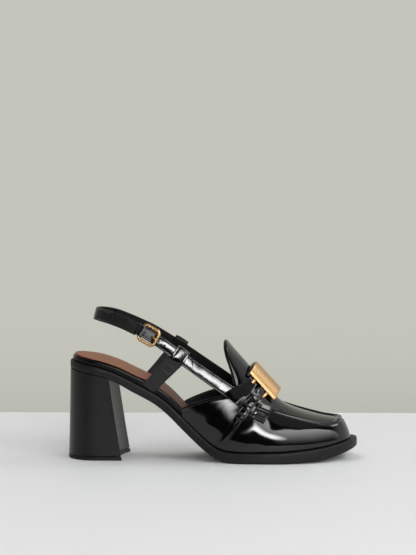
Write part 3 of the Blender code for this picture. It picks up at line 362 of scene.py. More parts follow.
# The left halves of a strap's faces: a place is a part of the half width and an inset from there,
# a height is a share of half the thickness
SECTION_COLUMNS = "part inset share"
SEWN_STRAP = (
    table(
        SECTION_COLUMNS,
        (1.0, 0.0, 0.2), (1.0, 0.12, 0.65), (1.0, 0.45, 0.95), (1.0, 0.85, 0.95),
        (1.0, STRAP_SEAM_INSET, 0.72), (1.0, 1.75, 0.98), (1.0, 2.4, 1.06), (0.0, 0.0, 1.08),
    ),
    table(SECTION_COLUMNS, (1.0, 0.0, -0.4), (1.0, 0.3, -0.9), (1.0, 1.0, -1.0), (0.0, 0.0, -1.0)),
)
WOVEN_BAND = (
    table(
        SECTION_COLUMNS,
        (1.0, 0.0, 0.0), (1.0, 0.15, 0.6), (1.0, 0.6, 1.0), (0.5, 0.0, 1.05), (0.0, 0.0, 1.15),
    ),
    table(SECTION_COLUMNS, (1.0, 0.15, -0.6), (1.0, 0.6, -1.0), (0.0, 0.0, -1.0)),
)
FLAT_STRAP_FACE = table(
    SECTION_COLUMNS,
    (1.0, 0.0, 0.3), (1.0, 0.25, 0.85), (1.0, 0.7, 1.0), (1.0, STRAP_SEAM_INSET, 0.78),
    (1.0, 1.9, 0.98), (0.5, 0.0, 1.2), (0.0, 0.0, 1.35),
)
FLAT_STRAP = (FLAT_STRAP_FACE, [row._replace(share=-row.share) for row in FLAT_STRAP_FACE])

BUCKLE_LENGTH = 16.6
BUCKLE_HEIGHT = 16.0
BUCKLE_BAR = 1.2
BUCKLE_REACH = BUCKLE_LENGTH / 2 - BUCKLE_BAR
BUCKLE_RING = 1.45
BUCKLE_CORNER = 3.2
BUCKLE_CORNER_STEPS = 8
BUCKLE_SIDES = 14
PRONG_RADIUS = 0.85
PRONG_SIDES = 12
PRONG_STEP = 0.6
PRONG_SAG = (-1.0, -0.4)
PRONG_RISE_PLACE = -4.2
PRONG_RISE = 0.7
PRONG_REST = 0.6
PRONG_DIP = 0.92
PRONG_TIP = 0.45
PRONG_TAPER = 0.25
BUCKLE_TAB_LAYER = 1.3
BUCKLE_TAB_WIDTH = 9.6
BUCKLE_TAB_ARC_STEPS = 20
BUCKLE_TAB_ARC_START = math.radians(55.0)
BUCKLE_TAB_ARC = math.radians(235.0)
BUCKLE_TAB_BEVEL = 0.35

SIDE_STRAP_X = {LATERAL: -26.3, MEDIAL: -29.3}
SIDE_STRAP_FOOT_X = {LATERAL: -52.5, MEDIAL: -54.0}
SIDE_STRAP_WIDTH = 12.0
SIDE_STRAP_LAYER = 1.4
SIDE_STRAP_FLAP = 21.0
SIDE_STRAP_FOOT_LIFT = 1.3
SIDE_STRAP_BEND = 3.5
SIDE_STRAP_ARC_STEPS = 8
SIDE_STRAP_STEP = 1.2
SIDE_STRAP_ROUND_END = 4.0
SIDE_STRAP_TIP = 0.45
FLAP_SEAM = (5.0, 12.0)
FLAP_SEAM_HALF = 4.0
FLAP_SEAM_SHARES = [k / 10 for k in range(2, 9)]
FLAP_BACK = 4

# The other seams
SEAM_STEP = 1.0
RIDGE_SEAM = 3.3
RIDGE_SEAM_PLACES = APRON_PLACES[2:] + FRONT_PLACES
RIDGE_STITCH_TURN = math.radians(62.0)
TOPLINE_STATIONS = QUARTER_STATIONS[1:10]
TOPLINE_SHARES = [k / 20 for k in range(21)]
TOPLINE_SEAM = 2.2
SADDLE_SEAM_LOWER = 0.075
SADDLE_SEAM_LOWER_STEPS = [k / 10 for k in range(1, 11)]
SADDLE_SEAM_REAR = 0.11
SADDLE_SEAM_REAR_SHARES = [k / 20 for k in range(2, 17)]

# The materials: where they change along X in metres, how deep the folds are and how the gloss leans
PATENT_SMEARS = (90.0, 4.0, (1.0, 2.2, 1.0))
PATENT_IOR = 1.5
FOLD_SCALE = 84.0
FOLD_START = -0.023
FOLD_FADE = 0.008
FOLD_DEPTH = 0.00047
PAD_LEAN = (0.2, 0.0, -0.15)
FOLDED_LEAN = (-0.06, 0.06, 0.1)
SLING_END_LEAN = (0.0, 0.0, -0.33)
# The sock's painted shade: where along X it starts, over how far it grows and how strong it is
SOCK_SHADE_START = -0.066
SOCK_SHADE_FADE = 0.03
SOCK_SHADE = 0.75

# The camera, in metres
CAMERA_PLACE = Vector((0.0864415, -2.4753608, 0.3842889))
CAMERA_AIM = Vector((-0.0040059, 0.0, 0.1500248))
CAMERA_LENS = 194.6
CAMERA_SENSOR = 36.0
CAMERA_REACH = 100.0

# The stage, in metres
FLOOR = ((-1.6, 0.234), (-1.6, -0.46), (0.05, -0.46), (0.5, -1.5), (1.6, -1.5), (1.6, 0.295))
WALL_Y = 3.6
WALL = ((-5.0, -2.0), (5.0, -2.0), (5.0, 4.5), (-5.0, 4.5))
# The wall glows with painted light, and is darker toward its foot as painted shade
WALL_FOOT = -0.478
WALL_FADE = 0.24
WALL_SHADE = ((0.0, 0.875), (0.24, 0.935), (0.5, 0.972), (0.83, 1.0))
FLOOR_ROUGHNESS = 0.6

# The light screen is a piece of a dome before the shoe: dark, but for a lamp, a tall window, a high
# spot, and a soft glow at its sides and its top. Turns are degrees from straight ahead (-Y) toward
# the toe, rises are degrees above the floor.
SCREEN_RADIUS = 3.0
SCREEN_TURNS = (-62, 150)
SCREEN_RISES = (-3, 60)
SCREEN_STEP = 1
SIDE_LIGHT = table(
    "turn glow",
    (-62.0, 0.25), (-50.0, 0.05), (-38.0, 0.02), (76.0, 0.02), (84.0, 0.3), (100.0, 0.75),
    (150.0, 0.75),
)
TOP_LIGHT_RISE = 47.0
TOP_LIGHT_FADE = 4.0
SPOT_TURN = 108.0
SPOT_RISE = 47.0
SPOT_REACH = 10.0
SPOT_WIDEN = 0.6
CEILING_PLACE = (-1.0, -0.1, 2.3)
CEILING_SIZE = 2.2
WINDOW = table(
    "turn top share",
    (6.0, 26.0, 0.0), (14.0, 34.0, 0.8), (22.0, 40.0, 1.0), (30.0, 44.0, 1.0), (38.0, 46.0, 1.0),
    (48.0, 46.0, 1.0), (58.0, 43.5, 1.0), (66.0, 37.0, 0.9), (72.0, 30.5, 0.72), (80.0, 23.0, 0.5),
    (86.0, 17.0, 0.36), (94.0, 10.0, 0.2),
)
WINDOW_FALL = 1.7
WINDOW_EDGE = 1.6
LAMP_TURN = 4.0
LAMP_RISE = 18.2
LAMP_SLOPE = math.radians(14.0)
LAMP_LENGTH = 18.0
LAMP_BEND = 0.035
LAMP_TAIL = 1.1
LAMP_WIDTH = 8.5
LAMP_NARROW = 2.8
LAMP_SPREAD = 1.2


class LoaferFinish(bpy.types.PropertyGroup):
    """Colours of the shoe's materials"""

    patent: FloatVectorProperty(name="Patent", description="Colour under the patent leather's gloss",
                                subtype="COLOR", default=(0.0009, 0.0009, 0.001), min=0.0, max=1.0)
    sole: FloatVectorProperty(name="Sole", description="Colour of the sole and the heel tip",
                              subtype="COLOR", default=(0.0042, 0.0038, 0.0044), min=0.0, max=1.0)
    heel: FloatVectorProperty(name="Heel", description="Colour of the heel's satin cover",
                              subtype="COLOR", default=(0.0028, 0.0026, 0.0029), min=0.0, max=1.0)
    tan: FloatVectorProperty(name="Sock", description="Colour of the tan leather sock",
                             subtype="COLOR", default=(0.27, 0.105, 0.052), min=0.0, max=1.0)
    elastic: FloatVectorProperty(name="Elastic", description="Colour of the woven elastic",
                                 subtype="COLOR", default=(0.005, 0.0048, 0.0044), min=0.0, max=1.0)
    gilt: FloatVectorProperty(name="Gilt", description="Colour of the plate and the buckle",
                              subtype="COLOR", default=(0.57, 0.36, 0.172), min=0.0, max=1.0)
    thread: FloatVectorProperty(name="Thread", description="Colour of the sewing thread",
                                subtype="COLOR", default=(0.05, 0.05, 0.052), min=0.0, max=1.0)


class LoaferDetail(bpy.types.PropertyGroup):
    """Sizes of the sewing and the fine surface"""

    stitch_pitch: FloatProperty(name="Stitch pitch", description="Distance between two stitches",
                                unit="LENGTH", default=0.0022, min=0.001, max=0.01)
    stitch_length: FloatProperty(name="Stitch length", description="Length of one stitch that shows",
                                 unit="LENGTH", default=0.0016, min=0.0005, max=0.01)
    thread_width: FloatProperty(name="Thread", description="Thickness of the sewing thread",
                                unit="LENGTH", default=0.00045, min=0.0001, max=0.002)
    ridge_pitch: FloatProperty(name="Ridge pitch", description="Distance between stitches of the ridge",
                               unit="LENGTH", default=0.0027, min=0.001, max=0.01)
    hole_width: FloatProperty(name="Strap holes", description="Diameter of the holes of the sling",
                              unit="LENGTH", default=0.0017, min=0.0005, max=0.005)
    smoothing: IntProperty(name="Smoothing", description="Subdivision of the leather panels",
                           default=2, min=0, max=3)


class LoaferStage(bpy.types.PropertyGroup):
    """Floor, wall and light round the shoe"""

    floor: FloatVectorProperty(name="Floor", description="Colour of the floor", subtype="COLOR",
                               default=(0.82, 0.83, 0.835), min=0.0, max=1.0)
    wall: FloatVectorProperty(name="Wall", description="Light that the wall sends back", subtype="COLOR",
                              default=(0.552, 0.555, 0.495), min=0.0, max=1.0)
    room: FloatVectorProperty(name="Room", description="Light of the room in front", subtype="COLOR",
                              default=(0.3, 0.3, 0.3), min=0.0, max=1.0)
    window: FloatProperty(name="Window", description="Light of the tall window at its top", default=6.9,
                          min=0.0, max=100.0)
    lamp: FloatProperty(name="Lamp", description="Light of the lamp at its middle", default=27.0,
                        min=0.0, max=100.0)
    spot: FloatProperty(name="Spot", description="Light of the high spot beside the toe", default=5.5,
                        min=0.0, max=100.0)
    ceiling: FloatProperty(name="Ceiling", description="Watts of the soft light over the shoe",
                           default=15.5, min=0.0, max=1000.0)


# Curves and the last


def smooth_curve(rows, column):
    """Return a monotone cubic through one column of a table whose first column is x."""
    xs = [row[0] for row in rows]
    ys = [getattr(row, column) for row in rows]
    steps = [xs[i + 1] - xs[i] for i in range(len(xs) - 1)]
    slopes = [(ys[i + 1] - ys[i]) / steps[i] for i in range(len(steps))]
    tangents = [slopes[0]]
    for i in range(1, len(slopes)):
        before, after = slopes[i - 1], slopes[i]
        if before * after <= 0:
            tangents.append(0.0)
            continue
        heavy = 2 * steps[i] + steps[i - 1]
        light = steps[i] + 2 * steps[i - 1]
        tangents.append((heavy + light) / (heavy / before + light / after))
    tangents.append(slopes[-1])

    def value(x):
        x = min(max(x, xs[0]), xs[-1])
        i = 0
        while i < len(steps) - 1 and x > xs[i + 1]:
            i += 1
        t = (x - xs[i]) / steps[i]
        rise = ys[i + 1] - ys[i]
        start = tangents[i] * steps[i]
        end = tangents[i + 1] * steps[i]
        return ys[i] + start * t + (3 * rise - 2 * start - end) * t * t + (start + end - 2 * rise) * t ** 3

    return value


sole_bottom = smooth_curve(SOLE_PROFILE, "bottom")
sole_thickness = smooth_curve(SOLE_PROFILE, "thickness")
sole_width = {side: smooth_curve(SOLE_WIDTHS, word) for side, word in SIDES}
footbed_inset = smooth_curve(FOOTBED, "inset")
footbed_thickness = smooth_curve(FOOTBED, "thickness")
shoulder_width = {side: smooth_curve(SHOULDER_WIDTHS, word) for side, word in SIDES}
shoulder_height = {side: smooth_curve(LAST_HEIGHTS, word) for side, word in SIDES}
crown_height = smooth_curve(LAST_HEIGHTS, "crown")
wall_waist = smooth_curve(WALL_SHAPES, "waist")
wall_bulge = smooth_curve(WALL_SHAPES, "bulge")
wall_lean = smooth_curve(WALL_SHAPES, "lean")
wall_drop = smooth_curve(WALL_SHAPES, "drop")
top_rise = smooth_curve(TOP_SHAPES, "rise")
top_shoulder = smooth_curve(TOP_SHAPES, "shoulder")
top_brow = smooth_curve(TOP_SHAPES, "brow")
rim_height = smooth_curve(RIM, "height")
window_top = smooth_curve(WINDOW, "top")
window_share = smooth_curve(WINDOW, "share")
side_glow = smooth_curve(SIDE_LIGHT, "glow")


def sole_top(x):
    return sole_bottom(x) + sole_thickness(x)


def footbed_top(x):
    return sole_top(x) + GAP + footbed_thickness(x)


def ease(t):
    t = min(max(t, 0.0), 1.0)
    return t * t * (3 - 2 * t)


def mix(a, b, t):
    return a + (b - a) * t


def halve(low, high, is_below, count):
    """Return where a test stops being true, by halving a span a number of times."""
    for _ in range(count):
        middle = (low + high) / 2
        if is_below(middle):
            low = middle
        else:
            high = middle
    return low


def ellipse_share(reach, roundness):
    """Return the half-width share of a superellipse at a share of its reach."""
    return max(0.0, 1.0 - min(reach, 1.0) ** roundness) ** (1.0 / roundness)


def toe_shift(x):
    """Return how far the toe's middle line swings to the inner side."""
    return TOE_SHIFT * (max(0.0, x - TOE_PIVOT) / TOE_REACH) ** 2


def bezier(points, t):
    a, b, c, d = points
    s = 1.0 - t
    return a * s ** 3 + b * (3 * s * s * t) + c * (3 * s * t * t) + d * t ** 3


def plan_point(station, side, inset, end_inset):
    """Return X and Y on the sole's outline, moved in from the edge."""
    zone, place = station
    if zone == "heel":
        half = sole_width[side](HEEL_PIVOT) - inset
        x = HEEL_PIVOT - (HEEL_REACH - end_inset) * place
        return x, side * half * ellipse_share(place, HEEL_ROUNDNESS)
    if zone == "toe":
        half = sole_width[side](TOE_PIVOT) - inset
        x = TOE_PIVOT + (TOE_REACH - end_inset) * place
        return x, toe_shift(x) + side * half * ellipse_share(place, TOE_ROUNDNESS[side])
    return place, side * (sole_width[side](place) - inset)


def relief(u):
    return ease((u - RELIEF_START) / (RELIEF_FULL - RELIEF_START))


def toe_place(u):
    """Return the place of an X on the ridge: X itself, and past the pivot degrees round the toe."""
    if u <= TOE_PIVOT:
        return u
    share = min((u - TOE_PIVOT) / RIDGE_REACH, 1.0)
    return TOE_PIVOT + math.degrees(math.asin(share ** (RIDGE_ROUNDNESS / 2)))


def toe_shares(place):
    """Return the shares of their reach of the ridge and of the feather edge round the toe."""
    turn = min(max(0.0, math.radians(place - TOE_PIVOT)), QUARTER)
    wave = math.sin(turn)
    ridge = wave ** (2 / RIDGE_ROUNDNESS)
    feather = wave ** (2 / FEATHER_ROUNDNESS)
    return ridge, ridge + (feather - ridge) * ease(turn / QUARTER)


def last_sections(place, side):
    """Return X on the ridge and the control points of the wall and of the top at one place."""
    ridge_share, feather_share = toe_shares(place)
    u = place if place <= TOE_PIVOT else TOE_PIVOT + RIDGE_REACH * ridge_share
    station = ("waist", u) if place <= TOE_PIVOT else ("toe", feather_share)
    fx, fy = plan_point(station, side, FEATHER_INSET, FEATHER_TOE_INSET)
    feather = Vector((fx, fy, sole_top(fx) + FEATHER_LIFT))
    narrow = ellipse_share(ridge_share, RIDGE_ROUNDNESS)
    ridge = Vector((u, toe_shift(u) + side * shoulder_width[side](u) * narrow, shoulder_height[side](u)))
    out = Vector((feather.x - ridge.x, feather.y - ridge.y, 0.0))
    height = ridge.z - feather.z
    low = feather + out.normalized() * wall_bulge(u)
    low.z = feather.z + wall_waist(u) * height
    high = ridge + out * wall_lean(u)
    high.z = ridge.z - wall_drop(u) * height
    crease_x = crease_place(u)
    middle = toe_shift(crease_x)
    width = max(0.0, shoulder_width[side](u) - CREASE_INSET) * narrow
    crease_z, shoulder_z, crown_z = top_heights(u, side, width)
    crease = Vector((crease_x, middle + side * width, crease_z))
    shoulder = Vector((crease_x, middle + side * width * top_shoulder(u), shoulder_z))
    brow = Vector((crease_x, middle + side * width * top_brow(u), crown_z))
    crown = Vector((crease_x, middle, crown_z))
    return u, (feather, low, high, ridge), (crease, shoulder, brow, crown)


def crease_place(u):
    if u <= TOE_PIVOT:
        return u
    return TOE_PIVOT + (u - TOE_PIVOT) * (RIDGE_REACH - CREASE_INSET) / RIDGE_REACH


def top_heights(u, side, width):
    """Return the heights of the crease, the shoulder and the crown of the top."""
    rise = top_rise(u)
    ridge_z = shoulder_height[side](u)
    crease_z = ridge_z + (1.0 - relief(u)) * rise * CREASE_INSET - relief(u) * CREASE_DEPTH
    crown_z = crown_height(u)
    return crease_z, min(crease_z + rise * (1.0 - top_shoulder(u)) * width, crown_z), crown_z


def apron_height(x, y):
    """Return the height of the apron over a point of its plan."""
    u = x
    if x > TOE_PIVOT:
        u = TOE_PIVOT + (x - TOE_PIVOT) * RIDGE_REACH / (RIDGE_REACH - CREASE_INSET)
    share = min(max(0.0, u - TOE_PIVOT) / RIDGE_REACH, 1.0)
    off = y - toe_shift(x)
    side = LATERAL if off < 0 else MEDIAL
    narrow = ellipse_share(share, RIDGE_ROUNDNESS)
    width = max(LEAST_WIDTH, (shoulder_width[side](u) - CREASE_INSET) * narrow)
    crease_z, shoulder_z, crown_z = top_heights(u, side, width)
    goal = min(abs(off) / width, 1.0)
    shares = (1.0, top_shoulder(u), top_brow(u), 0.0)
    place = halve(0.0, 1.0, lambda t: bezier(shares, t) > goal, APRON_HALVINGS)
    return bezier((crease_z, shoulder_z, crown_z, crown_z), place)


def last_point(u, across):
    """Return a point of the last; across runs from -2 (lateral feather) over 0 (crown) to 2."""
    side = LATERAL if across < 0 else MEDIAL
    level = CROWN_LEVEL - abs(across)
    _, wall, top = last_sections(toe_place(u), side)
    if level <= 1.0:
        return bezier(wall, level)
    if level <= CREASE_LEVEL:
        return wall[3].lerp(top[0], (level - 1.0) / (CREASE_LEVEL - 1.0))
    return bezier(top, (level - CREASE_LEVEL) / (CROWN_LEVEL - CREASE_LEVEL))


def last_normal(u, across):
    along = last_point(u + NORMAL_STEP, across) - last_point(u - NORMAL_STEP, across)
    over = last_point(u, across + NORMAL_ACROSS_STEP) - last_point(u, across - NORMAL_ACROSS_STEP)
    return along.cross(over).normalized()


def offset_point(u, across, offset):
    return last_point(u, across) + last_normal(u, across) * offset


def across_at_height(u, side, height):
    """Return the across value where one side of the last reaches a height."""
    if height >= crown_height(u):
        return 0.0

    def is_below(level):
        return last_point(u, side * (CROWN_LEVEL - level)).z < height

    return side * (CROWN_LEVEL - halve(0.0, CROWN_LEVEL, is_below, LAST_HALVINGS))


def run_lengths(points):
    lengths = [0.0]
    for a, b in zip(points, points[1:]):
        lengths.append(lengths[-1] + (b - a).length)
    return lengths


def point_at(points, lengths, s):
    """Return the point of a polyline at a length from its start."""
    s = min(max(s, 0.0), lengths[-1])
    i = 0
    while i < len(lengths) - 2 and s > lengths[i + 1]:
        i += 1
    span = lengths[i + 1] - lengths[i]
    return points[i].lerp(points[i + 1], (s - lengths[i]) / span if span else 0.0)


def heading(run, i, reach=1):
    """Return the way a run of points goes at one of them, over a reach to either side."""
    return run[min(i + reach, len(run) - 1)] - run[max(i - reach, 0)]


def smooth_run(points, step):
    """Return points at even steps along a smooth curve through a few given ones."""
    dense = [points[0]]
    for i in range(len(points) - 1):
        before = points[max(i - 1, 0)]
        after = points[min(i + 2, len(points) - 1)]
        start = (points[i + 1] - before) / 2
        end = (after - points[i]) / 2
        count = max(2, int((points[i + 1] - points[i]).length / (step / 3)))
        hull = (points[i], points[i] + start / 3, points[i + 1] - end / 3, points[i + 1])
        dense += [bezier(hull, k / count) for k in range(1, count + 1)]
    lengths = run_lengths(dense)
    count = max(2, round(lengths[-1] / step))
    return [point_at(dense, lengths, lengths[-1] * k / count) for k in range(count + 1)]


# Trees of nodes


class Socket:
    """A value of a node tree that takes part in expressions with numbers and other values."""

    def __init__(self, tree, socket):
        self.tree = tree
        self.socket = socket

    def math(self, operation, first, second):
        return self.tree.add("ShaderNodeMath", {"operation": operation}, {0: first, 1: second})

    def __add__(self, other):
        return self.math("ADD", self, other)

    __radd__ = __add__

    def __sub__(self, other):
        return self.math("SUBTRACT", self, other)

    def __rsub__(self, other):
        return self.math("SUBTRACT", other, self)

    def __mul__(self, other):
        return self.math("MULTIPLY", self, other)

    __rmul__ = __mul__


class Tree:
    """A node tree that is written one node at a time."""

    def __init__(self, tree):
        self.tree = tree

    def add(self, kind, settings=None, sockets=None, out=0):
        """Add a node with its settings, then its sockets' values or links, and return an output."""
        node = self.tree.nodes.new(kind)
        for name, value in (settings or {}).items():
            if name == "stops":
                for stop, (place, grey) in zip(ramp_stops(node, len(value)), value):
                    stop.position = place
                    stop.color = (grey, grey, grey, 1.0)
            else:
                setattr(node, name, value)
        for key, value in (sockets or {}).items():
            if isinstance(value, Socket):
                self.tree.links.new(value.socket, node.inputs[key])
            else:
                node.inputs[key].default_value = value
        return Socket(self, node.outputs[out]) if node.outputs else None

    def place(self):
        return self.add("ShaderNodeTexCoord", out="Object")

    def axis(self, letter):
        return self.add("ShaderNodeSeparateXYZ", None, {0: self.place()}, out=letter)

    def noise(self, scale, detail=2.0, stretch=(1.0, 1.0, 1.0)):
        spot = self.add("ShaderNodeMapping", None, {"Vector": self.place(), "Scale": stretch})
        return self.add("ShaderNodeTexNoise", None, {"Vector": spot, "Scale": scale, "Detail": detail})

    def blend(self, factor, first, second):
        return self.add("ShaderNodeMix", {"data_type": "RGBA"}, {0: factor, 6: first, 7: second}, out=2)

    def ramp(self, value, *stops):
        return self.add("ShaderNodeValToRGB", {"stops": stops}, {0: value})

    def past(self, letter, start, fade):
        """Return a share that grows from 0 to 1 over a fade past a place along an axis."""
        return self.ramp((self.axis(letter) - start) * (1.0 / fade), (0.0, 0.0), (1.0, 1.0))

    def bump(self, height, depth, strength=1.0, normal=None):
        sockets = {"Height": height, "Distance": depth, "Strength": strength}
        if normal:
            sockets["Normal"] = normal
        return self.add("ShaderNodeBump", None, sockets)


def ramp_stops(node, count):
    stops = node.color_ramp.elements
    while len(stops) < count:
        stops.new(1.0)
    return stops


def shade(colour, share):
    """Return a colour made lighter or darker, with full alpha."""
    return (*(channel * share for channel in colour), 1.0)


def material(name, paint):
    """Return a material by name, and paint it when it is first asked for."""
    made = bpy.data.materials.get(name)
    if made:
        return made
    made = bpy.data.materials.new(name)
    made.use_nodes = True
    tree = Tree(made.node_tree)
    shader = made.node_tree.nodes["Principled BSDF"]
    for socket, value in paint(tree).items():
        if isinstance(value, Socket):
            made.node_tree.links.new(value.socket, shader.inputs[socket])
        else:
            shader.inputs[socket].default_value = value
    return made


def painted(name):
    """Make a function that fills a node tree into one that returns the material it fills."""
    def wrap(paint):
        return lambda: material(name, paint)

    return wrap


def finish():
    return bpy.context.scene.loafer_finish


def detail():
    return bpy.context.scene.loafer_detail


def stage():
    return bpy.context.scene.loafer_stage


def patent_gloss(tree, roughness, spread, normal):
    """Return the sockets of patent leather: smears in its colour and its gloss over a relief."""
    colour = finish().patent
    smears = tree.noise(*PATENT_SMEARS)
    return {
        "Base Color": tree.blend(smears, shade(colour, 0.7), shade(colour, 1.5)),
        "Roughness": roughness + spread * tree.ramp(smears, (0.45, 0.0), (0.8, 1.0)),
        "IOR": PATENT_IOR,
        "Normal": normal,
    }


@painted("patent leather")
def patent_leather(tree):
    waves = tree.noise(scale=46.0, detail=1.0)
    peel = tree.noise(scale=420.0, detail=2.0)
    slow = tree.bump(waves, depth=0.00042)
    relief = tree.bump(peel, depth=0.000012, strength=0.6, normal=slow)
    return patent_gloss(tree, roughness=0.05, spread=0.05, normal=relief)


def leaning_patent(name, slopes):
    """Return patent leather whose gloss leans, as on a padded or a folded panel."""
    def paint(tree):
        waves = tree.noise(scale=60.0, detail=1.0)
        rise = tree.add("ShaderNodeVectorMath", {"operation": "DOT_PRODUCT"},
                        {0: tree.place(), 1: slopes}, out="Value")
        lean = tree.bump(rise, depth=1.0)
        relief = tree.bump(waves, depth=0.0005, normal=lean)
        return patent_gloss(tree, roughness=0.06, spread=0.06, normal=relief)

    return material(name, paint)


@painted("creased patent leather")
def creased_patent(tree):
    waves = tree.noise(scale=46.0, detail=1.0)
    creases = tree.noise(scale=120.0, detail=2.0, stretch=(1.8, 0.5, 0.9))
    folds = tree.add("ShaderNodeTexWave", {"wave_profile": "SAW"},
                     {"Vector": tree.place(), "Scale": FOLD_SCALE, "Distortion": 1.6, "Detail": 1.0})
    front = tree.past("X", FOLD_START, FOLD_FADE)
    slow = tree.bump(waves, depth=0.0002, normal=tree.bump(folds * front, depth=FOLD_DEPTH))
    relief = tree.bump(creases, depth=0.00012, strength=0.8, normal=slow)
    return patent_gloss(tree, roughness=0.07, spread=0.06, normal=relief)


@painted("black lining")
def lining_leather(tree):
    colour = finish().patent
    grain = tree.noise(scale=1500.0, detail=3.0)
    return {
        "Base Color": tree.blend(grain, shade(colour, 1.2), shade(colour, 3.0)),
        "Roughness": 0.42 + 0.2 * grain,
        "Specular IOR Level": 0.25,
        "Normal": tree.bump(grain, depth=0.00006, strength=0.7),
    }


@painted("wrapped footbed leather")
def wrapped_leather(tree):
    colour = finish().patent
    grain = tree.noise(scale=800.0, detail=3.0)
    waves = tree.noise(scale=70.0, detail=1.0)
    return {
        "Base Color": tree.blend(grain, shade(colour, 1.0), shade(colour, 2.2)),
        "Roughness": 0.16 + 0.1 * grain,
        "Specular IOR Level": 0.2,
        "Normal": tree.bump(grain, depth=0.00003, strength=0.5, normal=tree.bump(waves, depth=0.00025)),
    }


@painted("sole rubber")
def sole_rubber(tree):
    colour = finish().sole
    grain = tree.noise(scale=900.0, detail=3.0)
    wear = tree.noise(scale=60.0, detail=4.0)
    return {
        "Base Color": tree.blend(wear, shade(colour, 0.8), shade(colour, 1.5)),
        "Roughness": 0.42 + 0.16 * wear,
        "Specular IOR Level": 0.28,
        "Normal": tree.bump(grain, depth=0.00004, strength=0.6),
    }


@painted("heel satin")
def heel_satin(tree):
    colour = finish().heel
    layers = tree.noise(scale=26.0, detail=3.0, stretch=(1.0, 1.0, 16.0))
    grain = tree.noise(scale=1100.0, detail=2.0)
    return {
        "Base Color": tree.blend(layers, shade(colour, 0.85), shade(colour, 1.3)),
        "Roughness": 0.30 + 0.10 * layers,
        "Specular IOR Level": 0.35,
        "Normal": tree.bump(grain, depth=0.000015, strength=0.5, normal=tree.bump(layers, depth=0.00008)),
    }


@painted("tan sock leather")
def tan_leather(tree):
    colour = finish().tan
    streaks = tree.noise(scale=70.0, detail=5.0, stretch=(0.35, 2.0, 1.0))
    grain = tree.noise(scale=1300.0, detail=3.0)
    pores = tree.add("ShaderNodeTexVoronoi", None, {"Vector": tree.place(), "Scale": 1100.0})
    tone = 0.7 * streaks + 0.3 * grain
    # Painted shade: past X -66 mm the sock's colour darkens over 30 mm, three quarters of the way to a
    # fifth of itself, and stays so to the toe
    front = tree.past("X", SOCK_SHADE_START, SOCK_SHADE_FADE)
    plain = tree.blend(tone, shade(colour, 0.62), shade(colour, 1.35))
    fine = tree.bump(grain, depth=0.00005, strength=0.5)
    return {
        "Base Color": tree.blend(SOCK_SHADE * front, plain, shade(colour, 0.2)),
        "Specular IOR Level": 0.35,
        "Roughness": 0.5 + 0.14 * grain,
        "Normal": tree.bump(pores, depth=0.00005, strength=0.6, normal=fine),
    }


@painted("woven elastic")
def woven_elastic(tree):
    colour = finish().elastic
    ribs = tree.add("ShaderNodeTexWave", {"bands_direction": "Z"},
                    {"Vector": tree.place(), "Scale": 420.0, "Distortion": 0.6, "Detail": 1.0})
    fibre = tree.noise(scale=2600.0, detail=2.0)
    ribbed = tree.bump(ribs, depth=0.0001, strength=0.8)
    return {
        "Base Color": tree.blend(ribs, shade(colour, 0.6), shade(colour, 1.6)),
        "Roughness": 0.38 + 0.25 * fibre,
        "Specular IOR Level": 0.35,
        "Normal": tree.bump(fibre, depth=0.00005, strength=0.6, normal=ribbed),
    }


@painted("gilt metal")
def gilt_metal(tree):
    colour = finish().gilt
    smudge = tree.noise(scale=60.0, detail=3.0)
    return {
        "Base Color": tree.blend(smudge, shade(colour, 0.92), shade(colour, 1.06)),
        "Metallic": 1.0,
        "Roughness": 0.34 + 0.06 * smudge,
    }


@painted("sewing thread")
def sewing_thread(tree):
    colour = finish().thread
    twist = tree.noise(scale=2400.0, detail=1.0)
    return {
        "Base Color": tree.blend(twist, shade(colour, 0.7), shade(colour, 2.0)),
        "Roughness": 0.28 + 0.2 * twist,
        "Normal": tree.bump(twist, depth=0.00003, strength=0.6),
    }


# Meshes


def shoe_collection():
    made = bpy.data.collections.get("slingback_loafer_finish")
    if not made:
        made = bpy.data.collections.new("slingback_loafer_finish")
        bpy.context.scene.collection.children.link(made)
    return made


def link_mesh(name, mesh, *materials):
    for item in materials:
        mesh.materials.append(item)
    piece = bpy.data.objects.new(name, mesh)
    shoe_collection().objects.link(piece)
    return piece


def mesh_piece(name, verts, faces, materials, inside=None, sharp=None):
    """Make one object from points in millimetres; an open sheet faces away from the point inside."""
    mesh = bpy.data.meshes.new(name)
    bm = bmesh.new()
    made = [bm.verts.new(Vector(v) * MM) for v in verts]
    for face in faces:
        bm.faces.new([made[i] for i in face])
    bmesh.ops.remove_doubles(bm, verts=bm.verts, dist=MERGE)
    bmesh.ops.dissolve_degenerate(bm, edges=bm.edges, dist=MERGE)
    bmesh.ops.recalc_face_normals(bm, faces=bm.faces)
    if inside is not None:
        middle = Vector(inside) * MM
        flux = sum(f.normal.dot(f.calc_center_median() - middle) * f.calc_area() for f in bm.faces)
        if flux < 0:
            bmesh.ops.reverse_faces(bm, faces=bm.faces)
    bm.to_mesh(mesh)
    bm.free()
    mesh.shade_smooth()
    if sharp:
        mesh.set_sharp_from_angle(angle=math.radians(sharp))
    return link_mesh(name, mesh, *materials)


def grid_faces(rows, columns, start=0):
    faces = []
    for i in range(rows - 1):
        for j in range(columns - 1):
            a = start + i * columns + j
            faces.append((a, a + columns, a + columns + 1, a + 1))
    return faces


def grid_piece(name, grid, materials, inside):
    verts = [point for row in grid for point in row]
    return mesh_piece(name, verts, grid_faces(len(grid), len(grid[0])), materials, inside)


def ring_mesh(rings, closed_path=False):
    """Return points and faces that skin a row of equal rings; an open row is capped."""
    count = len(rings[0])
    verts = [point for ring in rings for point in ring]
    faces = []
    spans = len(rings) if closed_path else len(rings) - 1
    for i in range(spans):
        first, second = i * count, ((i + 1) % len(rings)) * count
        for j in range(count):
            k = (j + 1) % count
            faces.append((first + j, first + k, second + k, second + j))
    if not closed_path:
        faces.append(tuple(range(count)))
        faces.append(tuple(range(len(verts) - count, len(verts))))
    return verts, faces


def ring_piece(name, rings, finish_material, sharp=None, closed_path=False):
    return mesh_piece(name, *ring_mesh(rings, closed_path), [finish_material], sharp=sharp)


